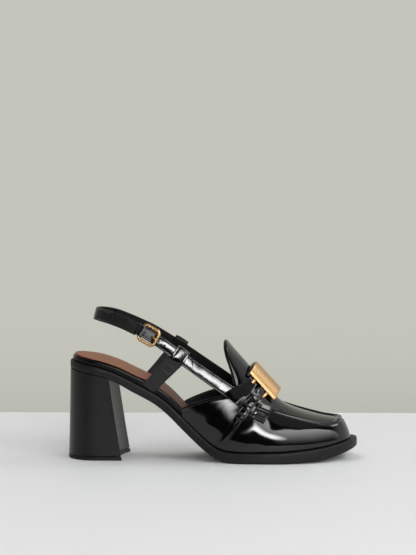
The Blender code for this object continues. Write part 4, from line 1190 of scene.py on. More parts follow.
def thicken(piece, thickness, outward, inner_material=0):
    solid = piece.modifiers.new("thickness", "SOLIDIFY")
    solid.thickness = thickness * MM
    solid.offset = 1.0 if outward else -1.0
    solid.use_quality_normals = True
    solid.material_offset = inner_material


def soften(piece):
    smooth = piece.modifiers.new("smooth", "SUBSURF")
    smooth.levels = detail().smoothing
    smooth.render_levels = smooth.levels


def round_edges(piece, width, angle, segments=3):
    bevel = piece.modifiers.new("edges", "BEVEL")
    bevel.width = width * MM
    bevel.segments = segments
    bevel.limit_method = "ANGLE"
    bevel.angle_limit = math.radians(angle)
    bevel.harden_normals = False


def line_inside(piece):
    """Give the lining to the faces that look toward the foot."""
    piece.data.materials.append(lining_leather())
    for face in piece.data.polygons:
        out = face.center - Vector((max(face.center.x, SLING_TURN_X * MM), 0.0, face.center.z))
        if face.normal.dot(out.normalized()) < LINING_FACING:
            face.material_index = 1


def dress(piece, slot, *nodes):
    """Ride on the shoe and stand for the solids that are named, which are hidden; the slot is not used."""
    if nodes:
        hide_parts(*nodes)
    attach(piece, BODY)


# Sole, heel and footbed


def plan_stations():
    stations = [("heel", math.cos(QUARTER * i / HEEL_STEPS)) for i in range(HEEL_STEPS)]
    count = round((TOE_PIVOT - HEEL_PIVOT) / WAIST_STEP)
    stations += [("waist", HEEL_PIVOT + (TOE_PIVOT - HEEL_PIVOT) * i / count) for i in range(count + 1)]
    stations += [("toe", math.sin(QUARTER * i / TOE_STEPS)) for i in range(1, TOE_STEPS + 1)]
    return stations


def slab(name, edge, inset, end_insets, bottom, top, finish_material):
    """Make a plate of the sole's plan with a rounded edge, capped by strips across the foot."""
    stations = plan_stations()
    heel_end, toe_end = end_insets
    bases = {"bottom": bottom, "top": top}
    verts = []
    loops = []
    for row in edge:
        loop = {}
        for side, _ in SIDES:
            ids = []
            for station in stations:
                end_inset = heel_end if station[0] == "heel" else toe_end
                place_x = plan_point(station, side, 0.0, end_inset)[0]
                x, y = plan_point(station, side, inset(place_x) + row.inset, end_inset + row.inset)
                ids.append(len(verts))
                verts.append(Vector((x, y, bases[row.base](x) + row.lift)))
            loop[side] = ids
        loops.append(loop)
    faces = []
    last = len(stations) - 1
    for lower, upper in zip(loops, loops[1:]):
        for side, _ in SIDES:
            for i in range(last):
                faces.append((lower[side][i], lower[side][i + 1], upper[side][i + 1], upper[side][i]))
    for loop in (loops[0], loops[-1]):
        lines = []
        for a, b in zip(loop[LATERAL], loop[MEDIAL]):
            line = [a]
            for k in range(1, CAP_COLUMNS):
                line.append(len(verts))
                verts.append(verts[a].lerp(verts[b], k / CAP_COLUMNS))
            lines.append(line + [b])
        for first, second in zip(lines, lines[1:]):
            for k in range(CAP_COLUMNS):
                faces.append((first[k], second[k], second[k + 1], first[k + 1]))
    return mesh_piece(name, verts, faces, [finish_material], sharp=CORNER)


def heel_outline(plan):
    """Return the heel's plan: round the back on the lateral side, the breast, and back."""
    halves = {}
    for side, _ in SIDES:
        corner = plan.corner_lateral if side == LATERAL else plan.corner_medial
        points = []
        for i in range(HEEL_BACK_STEPS):
            reach = math.cos(QUARTER * i / HEEL_BACK_STEPS)
            x = HEEL_ROUND_START - (HEEL_ROUND_START - plan.back) * reach
            points.append((x, side * plan.half_width * ellipse_share(reach, HEEL_PLAN_ROUNDNESS)))
        for i in range(HEEL_SIDE_STEPS + 1):
            x = HEEL_ROUND_START + (corner - HEEL_ROUND_START) * i / HEEL_SIDE_STEPS
            points.append((x, side * plan.half_width))
        halves[side] = points
    breast = []
    for i in range(1, HEEL_BREAST_STEPS):
        t = i / HEEL_BREAST_STEPS
        x = plan.corner_lateral + (plan.corner_medial - plan.corner_lateral) * t
        breast.append((x - plan.hollow * 4 * t * (1 - t), plan.half_width * (2 * t - 1)))
    return halves[LATERAL] + breast + halves[MEDIAL][:0:-1]


def heel_ring(share, height):
    """Return one level of the heel, from the foot (share 0) to the top (share 1).

    The back flares in a curve, the breast runs straight.
    """
    reach = HEEL_FOOT.corner_lateral - HEEL_FOOT.back
    ring = []
    for foot, top in zip(heel_outline(HEEL_FOOT), heel_outline(HEEL_TOP)):
        front = min(1.0, (foot[0] - HEEL_FOOT.back) / reach)
        blend = (1.0 - share) ** (HEEL_FLARE + (1.0 - HEEL_FLARE) * front)
        x = top[0] + (foot[0] - top[0]) * blend
        y = top[1] + (foot[1] - top[1]) * blend
        ring.append(Vector((x, y, height(x))))
    return ring


def heel_solid(name, rings, finish_material, edge):
    piece = ring_piece(name, rings, finish_material, FIRM_CORNER)
    round_edges(piece, edge, BEVEL_CORNER)
    return piece


def make_heel():
    floor = HEEL_TIP_THICKNESS + GAP
    full = sole_bottom(HEEL_TOP.back)
    levels = (0.0, HEEL_TIP_THICKNESS)
    rings = [heel_ring(level / full, lambda x, level=level: level) for level in levels]
    tip = heel_solid("heel_top_piece", rings, sole_rubber(), HEEL_EDGE / 2)
    rings = []
    for i in range(HEEL_ROWS + 1):
        t = i / HEEL_ROWS

        def height(x, t=t):
            return floor + (sole_bottom(x) - GAP - floor) * t

        rings.append(heel_ring(floor / full + (1.0 - floor / full) * t, height))
    dress(tip, "sole", "heel_tip")
    dress(heel_solid("block_heel", rings, heel_satin(), HEEL_EDGE), "heel", "heel")


def make_outsole():
    piece = slab("rubber_outsole", OUTSOLE_EDGE, lambda x: 0.0, (0.0, 0.0), sole_bottom, sole_top,
                 sole_rubber())
    dress(piece, "sole", "outsole")


def make_footbed():
    piece = slab("wrapped_footbed", FOOTBED_EDGE, footbed_inset, (FOOTBED[0].inset, FOOTBED_TOE_INSET),
                 lambda x: sole_top(x) + GAP, footbed_top, wrapped_leather())
    dress(piece, "footbed", "insole_board")
    sock = slab("tan_sock", SOCK_EDGE, lambda x: footbed_inset(x) + SOCK_INSET,
                (FOOTBED[0].inset + SOCK_INSET, FOOTBED_TOE_INSET + SOCK_INSET),
                lambda x: footbed_top(x) + GAP, lambda x: footbed_top(x) + GAP + SOCK_THICKNESS,
                tan_leather())
    dress(sock, "sock", "insole_sock")


# Upper, tongue and the pieces on the vamp


def wall_point(place, side, t):
    _, wall, _ = last_sections(place, side)
    return bezier(wall, t)


def ridge_columns(place, side):
    """Return one section of the upper, from the feather edge over the ridge's roll to the crease."""
    u, wall, top = last_sections(place, side)
    line = [bezier(wall, k / SECTION_STEPS) for k in range(SECTION_STEPS + 1)]
    lengths = run_lengths(line)
    total = lengths[-1]
    start = total - RIDGE_ROLL[0].away
    points = [point_at(line, lengths, start * share) for share in WALL_SHARES]
    for row in RIDGE_ROLL:
        point = point_at(line, lengths, total - row.away)
        before = point_at(line, lengths, total - row.away - RIDGE_TANGENT_STEP)
        after = point_at(line, lengths, total - row.away + RIDGE_TANGENT_STEP)
        t = 1.0 - row.away / total
        ahead = wall_point(place + RIDGE_PLACE_STEP, side, t)
        behind = wall_point(place - RIDGE_PLACE_STEP, side, t)
        normal = (ahead - behind).cross(after - before) * side
        normal = normal.normalized() if normal.z >= 0 else -normal.normalized()
        points.append(point + normal * (row.lift * relief(u)))
    crest = points[-1]
    for share in VALLEY_SHARES:
        points.append(Vector((*crest.lerp(top[0], share).xy, crest.lerp(top[0], ease(share)).z)))
    points.append(top[0])
    return points


def quarter_columns(u, side, shares):
    """Return one section of the quarters, from the feather edge to the topline."""
    _, wall, top = last_sections(u, side)
    line = [bezier(wall, k / SECTION_STEPS) for k in range(SECTION_STEPS + 1)]
    line += [bezier(top, k / SECTION_STEPS) for k in range(SECTION_STEPS + 1)]
    rim = rim_height(u)
    kept = [line[0]]
    for a, b in zip(line, line[1:]):
        if b.z >= rim:
            kept.append(a.lerp(b, (rim - a.z) / (b.z - a.z)))
            break
        kept.append(b)
    lengths = run_lengths(kept)
    return [point_at(kept, lengths, lengths[-1] * share) for share in shares]


def crease_line(places, side):
    return [last_sections(place, side)[2][0] for place in places]


def apron_grid():
    """Return the apron's rows from the throat to the ridge's front, each from lateral to medial."""
    edges = {side: crease_line(APRON_PLACES, side) for side, _ in SIDES}
    fronts = {side: crease_line(FRONT_PLACES, side) for side, _ in SIDES}
    front = [edges[LATERAL][-1]] + fronts[LATERAL] + fronts[MEDIAL][-2::-1] + [edges[MEDIAL][-1]]
    width = front[-1].y - front[0].y
    shares = [(point.y - front[0].y) / width for point in front]
    last_x = front[0].x
    grid = []
    for lateral, medial in zip(edges[LATERAL], edges[MEDIAL]):
        depth = (lateral.x - THROAT) / (last_x - THROAT)
        row = []
        for share, goal in zip(shares, front):
            x = lateral.x + (goal.x - last_x) * depth
            y = lateral.y + (medial.y - lateral.y) * share
            row.append(Vector((x, y, apron_height(x, y))))
        row[0] = lateral
        row[-1] = medial
        grid.append(row)
    grid[-1] = front
    return grid


def make_upper():
    apron = apron_grid()
    middle = len(apron[0]) // 2
    halves = {
        LATERAL: [row[:middle + 1] for row in apron],
        MEDIAL: [row[:middle - 1:-1] for row in apron],
    }
    verts = []
    faces = []
    for side, _ in SIDES:
        rows = [ridge_columns(p, side) + half[1:] for p, half in zip(APRON_PLACES, halves[side])]
        lengths = run_lengths(rows[0])
        shares = [length / lengths[-1] for length in lengths]
        rows = [quarter_columns(u, side, shares) for u in QUARTER_STATIONS] + rows
        faces += grid_faces(len(rows), len(rows[0]), len(verts))
        verts += [point for row in rows for point in row]
        front = [ridge_columns(place, side) for place in APRON_PLACES[-1:] + FRONT_PLACES]
        faces += grid_faces(len(front), len(front[0]), len(verts))
        verts += [point for row in front for point in row]
    piece = mesh_piece("patent_upper", verts, faces, [patent_leather(), lining_leather()], UPPER_INSIDE)
    thicken(piece, UPPER_WALL, outward=False, inner_material=1)
    soften(piece)
    dress(piece, "patent", "upper")


def make_tongue():
    grid = []
    for i in range(TONGUE_ROWS + 1):
        t = i / TONGUE_ROWS
        row = []
        for j in range(TONGUE_COLUMNS + 1):
            place = 2.0 * j / TONGUE_COLUMNS - 1.0
            side = LATERAL if place < 0 else MEDIAL
            base_u = TONGUE_SIDE + (THROAT - TONGUE_SEAM - TONGUE_SIDE) * (1.0 - abs(place))
            base = across_at_height(base_u, side, rim_height(base_u + TONGUE_SEAM) + TONGUE_SEAM)
            top_u = TONGUE_TOP + TONGUE_ROUNDING * abs(place) ** 4
            corner_u = TONGUE_TOP + TONGUE_ROUNDING
            top = across_at_height(corner_u, side, TONGUE_CORNER_HEIGHT) * abs(place)
            row.append(last_point(top_u + (base_u - top_u) * t, top + (base - top) * t))
        grid.append(row)
    piece = grid_piece("tongue_leather", grid, [patent_leather(), lining_leather()], TONGUE_INSIDE)
    thicken(piece, TONGUE_THICKNESS, outward=False, inner_material=1)
    piece.modifiers["thickness"].material_offset_rim = 1
    soften(piece)
    dress(piece, "patent", "tongue")


def panel_curve(points, side):
    """Return the place and across value along one edge of a panel, from its foot to the crown."""
    rows = [PlaceRow(p.share, p.x, across_at_height(p.x, side, p.height)) for p in points]
    return smooth_curve(rows, "place"), smooth_curve(rows, "across")


def saddle_edges(side):
    return panel_curve(SADDLE_REAR, side), panel_curve(SADDLE_FRONT, side)


def saddle_point(edges, share, t, offset):
    (rear_x, rear_across), (front_x, front_across) = edges
    u = mix(rear_x(share), front_x(share), t)
    across = mix(rear_across(share), front_across(share), t)
    return offset_point(u, across, offset)


def make_saddle():
    shares = [i / SADDLE_STEPS for i in range(SADDLE_STEPS + 1)]
    lines = [(LATERAL, share) for share in shares] + [(MEDIAL, share) for share in shares[-2::-1]]
    edges = {side: saddle_edges(side) for side, _ in SIDES}
    puff = smooth_curve(SADDLE_PUFF, "lift")
    grid = []
    for i in range(SADDLE_ROWS + 1):
        t = i / SADDLE_ROWS
        fade = ease((1.0 - t) / SADDLE_PUFF_FADE)
        row = []
        for side, share in lines:
            row.append(saddle_point(edges[side], share, t, GAP + puff(share) * fade))
        grid.append(row)
    padded = leaning_patent("padded patent", PAD_LEAN)
    piece = grid_piece("saddle_leather", grid, [padded], SADDLE_INSIDE)
    thicken(piece, SADDLE_THICKNESS, outward=True)
    soften(piece)
    dress(piece, "patent", "saddle")


def vamp_strap_section(half, top):
    """Return the section of a narrow strap: a bead along each edge and a puffed middle."""
    left = [(inset - half, height) for inset, height in VAMP_STRAP_BEAD]
    left.append((VAMP_STRAP_PUFF_INSET - half, top - VAMP_STRAP_PUFF_DROP))
    left.append((-half * VAMP_STRAP_FLAT_SHARE, top))
    return left + [(-a, h) for a, h in left[::-1]]


def make_vamp_straps():
    heights = smooth_curve(VAMP_STRAP, "height")
    widths = smooth_curve(VAMP_STRAP, "width")
    form = smooth_curve(VAMP_STRAP_FORM, "lift")
    start, end = VAMP_STRAP[0].x, VAMP_STRAP[-1].x
    places = [start + (end - start) * i / VAMP_STRAP_ROWS for i in range(VAMP_STRAP_ROWS + 1)]
    for side, word in SIDES:
        levels = [across_at_height(x, side, heights(x)) for x in places]
        centres = [offset_point(x, across, GAP) for x, across in zip(places, levels)]
        normals = [last_normal(x, across) for x, across in zip(places, levels)]
        rings = []
        for i, x in enumerate(places):
            across_dir = normals[i].cross(heading(centres, i, VAMP_STRAP_REACH)).normalized()
            section = vamp_strap_section(widths(x) / 2, VAMP_STRAP_THICKNESS + form(i / VAMP_STRAP_ROWS))
            rings.append([centres[i] + across_dir * a + normals[i] * h for a, h in section])
        piece = ring_piece("vamp_strap_leather_" + word, rings, patent_leather(), SOFT_CORNER)
        dress(piece, "patent", "vamp_strap_" + word)


def make_side_tabs():
    columns = [*TAB_BORDER, *TAB_MIDDLE, *(1.0 - share for share in TAB_BORDER[::-1])]
    grooved = (TAB_GROOVE_COLUMN, len(columns) - 1 - TAB_GROOVE_COLUMN)
    across_steps, size = len(columns), len(TAB_FOLDS)
    for side, word in SIDES:
        layers = []
        for outer in (False, True):
            for column, s in enumerate(columns):
                groove = TAB_GROOVE if column in grooved else 0.0
                for t, lift in TAB_FOLDS:
                    rear = [mix(low, high, t) for low, high in zip(TAB_REAR_BOTTOM, TAB_REAR_TOP)]
                    front = [mix(low, high, t) for low, high in zip(TAB_FRONT_BOTTOM, TAB_FRONT_TOP)]
                    u, height = (mix(a, b, s) for a, b in zip(rear, front))
                    offset = TAB_LIFT + (lift - groove if outer else 0.0)
                    layers.append(offset_point(u, across_at_height(u, side, height), offset))
        count = across_steps * size
        faces = grid_faces(across_steps, size) + grid_faces(across_steps, size, count)
        rim = [i * size for i in range(across_steps)]
        rim += [(across_steps - 1) * size + j for j in range(1, size)]
        rim += [i * size + size - 1 for i in range(across_steps - 2, -1, -1)]
        rim += range(size - 2, 0, -1)
        for a, b in zip(rim, rim[1:] + rim[:1]):
            faces.append((a, b, b + count, a + count))
        folded = leaning_patent("folded patent", FOLDED_LEAN)
        piece = mesh_piece("folded_tab_" + word, layers, faces, [folded], sharp=TAB_CORNER)
        round_edges(piece, TAB_BEVEL, TAB_CORNER, 2)
        dress(piece, "patent", "side_tab_" + word)


def make_plate():
    rear = Vector((PLATE_REAR[0], 0.0, PLATE_REAR[1]))
    front = Vector((PLATE_FRONT[0], 0.0, PLATE_FRONT[1]))
    along = (front - rear).normalized()
    normal = Vector((-along.z, 0.0, along.x))
    reach = math.asin(PLATE_HALF_WIDTH / PLATE_RADIUS)

    def surface(share, turn):
        base = rear.lerp(front, share) - normal * PLATE_RADIUS
        across = Vector((0, PLATE_RADIUS * math.sin(reach * turn), 0))
        edge = max(0.0, abs(turn) - PLATE_EDGE_TURN) / (1.0 - PLATE_EDGE_TURN)
        rise = normal * (PLATE_RADIUS * math.cos(reach * turn) - PLATE_EDGE_DROP * edge)
        return base + across + rise + along * (PLATE_SWEEP * turn * turn)

    turns = [PLATE_EDGE_TURN * (2.0 * j / PLATE_COLUMNS - 1.0) for j in range(PLATE_COLUMNS + 1)]
    turns = [-1.0] + turns + [1.0]
    grid = [[surface(i / PLATE_ROWS, turn) for turn in turns] for i in range(PLATE_ROWS + 1)]
    inside = rear.lerp(front, 0.5) - normal * PLATE_RADIUS
    piece = grid_piece("gilt_plate", grid, [gilt_metal()], inside)
    piece.data.set_sharp_from_angle(angle=math.radians(PLATE_CORNER))
    thicken(piece, PLATE_THICKNESS, outward=False)
    round_edges(piece, PLATE_BEVEL, CORNER)
    dress(piece, "gold", "plate")
    verts, faces = [], []
    for side, _ in SIDES:
        for share in PLATE_LUG_SHARES:
            lug = plate_lug(surface(share, side), along, normal, side)
            rings, lug_faces = ring_mesh(lug)
            faces += [tuple(i + len(verts) for i in face) for face in lug_faces]
            verts += rings
    lugs = mesh_piece("gilt_plate_lugs", verts, faces, [gilt_metal()], sharp=CORNER)
    round_edges(lugs, PLATE_LUG_BEVEL, CORNER)
    dress(lugs, "gold")
    drop = PLATE_THICKNESS + ROLL_RADIUS
    edge = [surface(0.0, turn) + along * ROLL_SETBACK - normal * drop for turn in turns]
    rings = cord_rings(smooth_run(edge, ROLL_STEP), ROLL_RADIUS)
    dress(ring_piece("saddle_roll", rings, patent_leather(), SOFT_CORNER), "patent")


def cord_rings(run, radius):
    """Return the rings of a round cord along a run of points in one plane."""
    plane = (run[0] - run[len(run) // 2]).cross(run[-1] - run[len(run) // 2]).normalized()
    rings = []
    for i, middle in enumerate(run):
        forward = heading(run, i)
        first = plane.cross(forward).normalized()
        rings.append(round_ring(middle, first, forward.cross(first).normalized(), radius, ROLL_SIDES))
    return rings


def plate_lug(root, along, normal, side):
    """Return the rings of one finger that leaves the plate's edge and bends down to the saddle."""
    rings = []
    middle = root - normal * (PLATE_THICKNESS / 2)
    step = PLATE_LUG_LENGTH / PLATE_LUG_STEPS
    for k in range(PLATE_LUG_STEPS + 1):
        t = k / PLATE_LUG_STEPS
        angle = mix(*PLATE_LUG_ANGLES, ease(t))
        fall = Vector((0, side * math.cos(angle), 0)) - normal * math.sin(angle)
        lift = fall.cross(along).normalized()
        half = along * (PLATE_LUG_WIDTH / 2 * (1.0 - PLATE_LUG_TAPER * t))
        depth = lift * PLATE_LUG_DEPTH
        rings.append([middle - half - depth, middle + half - depth, middle + half + depth,
                      middle - half + depth])
        middle = middle + fall * step
    return rings


# Sling, buckle and side straps


class SlingPath:
    """The middle line of the sling, measured along its length from the lateral front end."""

    def __init__(self):
        lateral = [Vector((p.x, -p.half_width, p.height)) for p in SLING_LINE]
        medial = [Vector((p.x, p.half_width, p.height - p.medial_drop)) for p in SLING_LINE[-2::-1]]
        self.points = smooth_run(lateral + medial, SLING_PATH_STEP)
        self.lengths = run_lengths(self.points)
        self.total = self.lengths[-1]

    def point(self, s):
        return point_at(self.points, self.lengths, s)

    def frame(self, s):
        """Return the middle, the direction along, the direction up the width and outwards."""
        along = (self.point(s + SLING_TANGENT_STEP) - self.point(s - SLING_TANGENT_STEP)).normalized()
        out = Vector((-along.y, along.x, 0.0)).normalized()
        lean = SLING_LEAN + SLING_TWIST * ease((SLING_TWIST_END - s) / SLING_TWIST_FADE)
        out = (out + Vector((0, 0, lean))).normalized()
        up = along.cross(out).normalized()
        return self.point(s), along, up, up.cross(along).normalized()

    def length_at(self, x):
        """Return the length along the lateral half where the sling passes an X."""
        return halve(0.0, self.total / 2, lambda s: self.point(s).x > x, SLING_HALVINGS)


def strap_section(faces, half, depth):
    """Return a strap's section from the left halves of its outer and its inner face."""
    outer, inner = ([(row.inset - half * row.part, row.share * depth) for row in face] for face in faces)
    right = [(-a, h) for a, h in outer[-2::-1]]
    return outer + right + [(-a, h) for a, h in inner[:-1]] + inner[::-1]


def gather_waves(gather, i):
    """Return the uneven waves of a gathered band's half width and of its middle at one ring."""
    fast, slow, start = GATHER_WIDE
    wide = gather * math.sin(fast * i) * math.sin(slow * i + start)
    fast, slow, start = GATHER_DEEP
    deep = gather * math.sin(fast * i + start) * math.cos(slow * i)
    return wide, deep


def ribbon(name, path, stretch, widths, thickness, faces, finish_material, slants=(0.0, 0.0), gather=0.0):
    """Sweep a strap along a stretch of the sling; widths and slants are those at its two ends."""
    start, end = stretch
    count = max(2, round((end - start) / (GATHER_STEP if gather else SLING_STEP)))
    rings = []
    for i in range(count + 1):
        t = i / count
        s = mix(start, end, t)
        middle, along, up, out = path.frame(s)
        wide, deep = gather_waves(gather, i)
        half = mix(*widths, t) / 2 + wide
        middle = middle + out * deep
        slant = slants[0] * max(0.0, 1.0 - (s - start) / SLING_SLANT_FADE)
        slant += slants[1] * max(0.0, 1.0 - (end - s) / SLING_SLANT_FADE)
        edge = up + along * slant
        rings.append([middle + edge * a + out * h for a, h in strap_section(faces, half, thickness / 2)])
    return ring_piece(name, rings, finish_material, CORNER)


def buckle_places(path):
    """Return the lengths along the sling of the buckle's front and rear bars."""
    middle = path.length_at(BUCKLE_X)
    return middle - BUCKLE_REACH, middle + BUCKLE_REACH


def buckle_frame(path):
    """Return the sling's frame at the middle of the buckle."""
    front_bar, rear_bar = buckle_places(path)
    return path.frame((front_bar + rear_bar) / 2)


def bar_height():
    return SLING_THICKNESS / 2 + GAP + BUCKLE_BAR


def tab_radius():
    return BUCKLE_BAR + GAP + BUCKLE_TAB_LAYER


def sling_stretches(path):
    """Return the start and end of each strap along the sling."""
    rear_bar = buckle_places(path)[1]
    elastic = path.length_at(ELASTIC_FRONT_X), path.length_at(ELASTIC_REAR_X)
    back = path.total - elastic[1]
    return {
        "lateral": (0.0, rear_bar - tab_radius() - GAP),
        "elastic": (elastic[0] + GAP, elastic[1] - GAP),
        "back": (elastic[1], back),
        "medial": (back + GAP, path.total),
    }


def make_sling(path):
    runs = sling_stretches(path)
    wide = (SLING_BACK_WIDTH, SLING_BACK_WIDTH)
    front = (SLING_SADDLE_WIDTH, SLING_FRONT_WIDTH)
    strap = ribbon("sling_leather_lateral", path, runs["lateral"], front, SLING_THICKNESS, SEWN_STRAP,
                   creased_patent(), (-SLING_SLANT, 0.0))
    line_inside(strap)
    spots = [path.frame(path.length_at(x)) for x in STRAP_HOLES_X]
    punch_holes(strap, [(middle + out * (SLING_THICKNESS / 2), out) for middle, _, _, out in spots])
    dress(strap, "patent", "sling_strap_lateral")
    start, end = runs["elastic"]
    band = ribbon("elastic_band", path, (start - ELASTIC_TUCK, end), wide, ELASTIC_THICKNESS, WOVEN_BAND,
                  woven_elastic(), gather=ELASTIC_GATHER)
    dress(band, "elastic", "elastic_gore")
    back = ribbon("heel_band_leather", path, runs["back"], wide, SLING_THICKNESS, SEWN_STRAP,
                  patent_leather())
    line_inside(back)
    dress(back, "patent", "sling_back_band")
    medial = ribbon("sling_leather_medial", path, runs["medial"], (SLING_BACK_WIDTH, SLING_FRONT_WIDTH),
                    SLING_THICKNESS, SEWN_STRAP, patent_leather(), (0.0, SLING_SLANT))
    line_inside(medial)
    dress(medial, "patent", "sling_strap_medial")


def make_buckle(path):
    centre, along, up, out = buckle_frame(path)
    centre = centre + out * bar_height()
    pivot_x = BUCKLE_REACH - BUCKLE_CORNER
    pivot_y = BUCKLE_HEIGHT / 2 - BUCKLE_BAR - BUCKLE_CORNER
    rings = []
    for corner, (sign_x, sign_y) in enumerate(((1, 1), (-1, 1), (-1, -1), (1, -1))):
        pivot = centre + along * sign_x * pivot_x + up * sign_y * pivot_y
        for i in range(BUCKLE_CORNER_STEPS + 1):
            angle = QUARTER * (corner + i / BUCKLE_CORNER_STEPS)
            ray = along * math.cos(angle) + up * math.sin(angle)
            rings.append(round_ring(pivot + ray * BUCKLE_CORNER, ray, out, BUCKLE_RING, BUCKLE_SIDES))
    dress(ring_piece("gilt_buckle", rings, gilt_metal(), closed_path=True), "gold", "buckle_frame")
    lift = BUCKLE_RING + PRONG_RADIUS
    line = ((BUCKLE_REACH - tab_radius() - GAP, -BUCKLE_BAR + PRONG_RADIUS), PRONG_SAG,
            (PRONG_RISE_PLACE, PRONG_RISE * lift), (-BUCKLE_REACH + PRONG_REST, lift),
            (-BUCKLE_REACH - BUCKLE_RING, lift * PRONG_DIP))
    run = smooth_run([centre + along * a + out * h for a, h in line], PRONG_STEP)
    rings = []
    for i, middle in enumerate(run):
        tip = min(1.0, PRONG_TIP + PRONG_TAPER * (len(run) - 1 - i))
        rings.append(round_ring(middle, up, out, PRONG_RADIUS * tip, PRONG_SIDES))
    dress(ring_piece("gilt_prong", rings, gilt_metal(), SOFT_CORNER), "gold", "buckle_prong")


def end_share(left, tip):
    """Return the width share of a round end, from the tip's share where nothing is left to 1."""
    return tip + (1.0 - tip) * math.sqrt(1.0 - (1.0 - min(left, 1.0)) ** 2)


def make_sling_end(path):
    """Make the sling's free end, which rises inside the buckle and lies over its rear bar."""
    centre, along, up, out = buckle_frame(path)
    centre = centre + out * bar_height()
    turn = tab_radius() + GAP + SLING_END_LAYER / 2
    line = list(SLING_END_LINE)
    for angle in map(math.radians, SLING_END_TURNS):
        line.append((BUCKLE_REACH + turn * math.cos(angle), turn * math.sin(angle)))
    run = smooth_run([centre + along * a + out * h for a, h in line], SLING_END_STEP)
    rings, faces_out = [], []
    for i, middle in enumerate(run):
        face = up.cross(heading(run, i)).normalized()
        left = (len(run) - 1 - i) * SLING_END_STEP / SLING_END_ROUND
        half = SLING_END_WIDTH / 2 * end_share(left, SLING_END_TIP)
        section = strap_section(SEWN_STRAP, half, SLING_END_LAYER / 2)
        rings.append([middle + up * a + face * h for a, h in section])
        faces_out.append((middle + face * (SLING_END_LAYER / 2), face))
    leaning = leaning_patent("sling end patent", SLING_END_LEAN)
    piece = ring_piece("sling_end_leather", rings, leaning, CORNER)
    punch_holes(piece, [faces_out[round(share * (len(run) - 1))] for share in SLING_END_HOLES])
    dress(piece, "patent")


def round_ring(middle, first, second, radius, sides):
    turns = [2 * math.pi * (k + 0.5) / sides for k in range(sides)]
    return [middle + (first * math.cos(turn) + second * math.sin(turn)) * radius for turn in turns]


def make_buckle_tab(path):
    """Make the folded strap end round the rear bar of the buckle, which holds the elastic."""
    middle, along, up, out = buckle_frame(path)
    middle = middle + along * BUCKLE_REACH
    end = path.point(path.length_at(ELASTIC_FRONT_X)) - middle
    length = end.dot(along) - 2 * GAP
    drift = end.dot(out)
    height = bar_height()
    depth = SLING_THICKNESS / 2
    outline = [(length, drift - depth), (length, drift + depth)]
    for i in range(BUCKLE_TAB_ARC_STEPS + 1):
        angle = BUCKLE_TAB_ARC_START + BUCKLE_TAB_ARC * i / BUCKLE_TAB_ARC_STEPS
        outline.append((tab_radius() * math.cos(angle), height + tab_radius() * math.sin(angle)))
    hole = []
    hole_radius = BUCKLE_BAR + GAP
    for i in range(BUCKLE_TAB_ARC_STEPS):
        angle = 2 * math.pi * i / BUCKLE_TAB_ARC_STEPS
        hole.append((hole_radius * math.cos(angle), height + hole_radius * math.sin(angle)))
    bm = bmesh.new()
    edges = []
    for loop in (outline, hole):
        spots = [middle + along * a + out * h - up * (BUCKLE_TAB_WIDTH / 2) for a, h in loop]
        verts = [bm.verts.new(spot * MM) for spot in spots]
        edges += [bm.edges.new(pair) for pair in zip(verts, verts[1:] + verts[:1])]
    filled = bmesh.ops.triangle_fill(bm, use_beauty=True, use_dissolve=False, edges=edges)
    flat = [item for item in filled["geom"] if isinstance(item, bmesh.types.BMFace)]
    grown = bmesh.ops.extrude_face_region(bm, geom=flat)
    moved = [item for item in grown["geom"] if isinstance(item, bmesh.types.BMVert)]
    bmesh.ops.translate(bm, verts=moved, vec=up * (BUCKLE_TAB_WIDTH * MM))
    bmesh.ops.recalc_face_normals(bm, faces=bm.faces)
    mesh = bpy.data.meshes.new("buckle_fold_leather")
    bm.to_mesh(mesh)
    bm.free()
    mesh.shade_smooth()
    mesh.set_sharp_from_angle(angle=math.radians(FIRM_CORNER))
    piece = link_mesh("buckle_fold_leather", mesh, patent_leather())
    round_edges(piece, BUCKLE_TAB_BEVEL, CORNER)
    dress(piece, "patent", "buckle_tab")


def side_strap_run(path, side):
    """Return the frame of a side strap and its middle line, from the sole to the flap's end."""
    reach = path.length_at(SIDE_STRAP_X[side])
    middle, along, up, out = path.frame(reach if side == LATERAL else path.total - reach)
    layer = SIDE_STRAP_LAYER
    inner = SLING_THICKNESS / 2 + GAP + layer / 2
    foot_x = SIDE_STRAP_FOOT_X[side]
    foot_y = sole_width[side](foot_x) - footbed_inset(foot_x) + GAP + layer / 2
    foot = Vector((foot_x, side * foot_y, sole_top(foot_x) + GAP + SIDE_STRAP_FOOT_LIFT))
    fall_end = (middle - foot).dot(up)
    rise_end = (foot - middle).dot(out)
    slant = (foot - middle).dot(along)
    edge = SLING_FRONT_WIDTH / 2 + GAP
    bend = edge + SIDE_STRAP_BEND

    def rise_at(fall):
        return -inner + (rise_end + inner) * (fall - bend) / (fall_end - bend)

    line = [(fall_end, rise_end), ((fall_end + bend) / 2, rise_at((fall_end + bend) / 2)), (bend, -inner),
            (-edge, -inner)]
    for i in range(1, SIDE_STRAP_ARC_STEPS):
        angle = math.pi * i / SIDE_STRAP_ARC_STEPS
        line.append((-edge - inner * math.sin(angle), -inner * math.cos(angle)))
    line += [(-edge, inner), (edge + GAP, inner)]
    line += [(fall, rise_at(fall) + layer + GAP) for fall in (bend + SIDE_STRAP_BEND, SIDE_STRAP_FLAP)]
    points = []
    for fall, rise in line:
        drift = slant * max(0.0, fall - edge) / (fall_end - edge)
        points.append(middle - up * fall + out * rise + along * drift)
    return along, smooth_run(points, SIDE_STRAP_STEP)


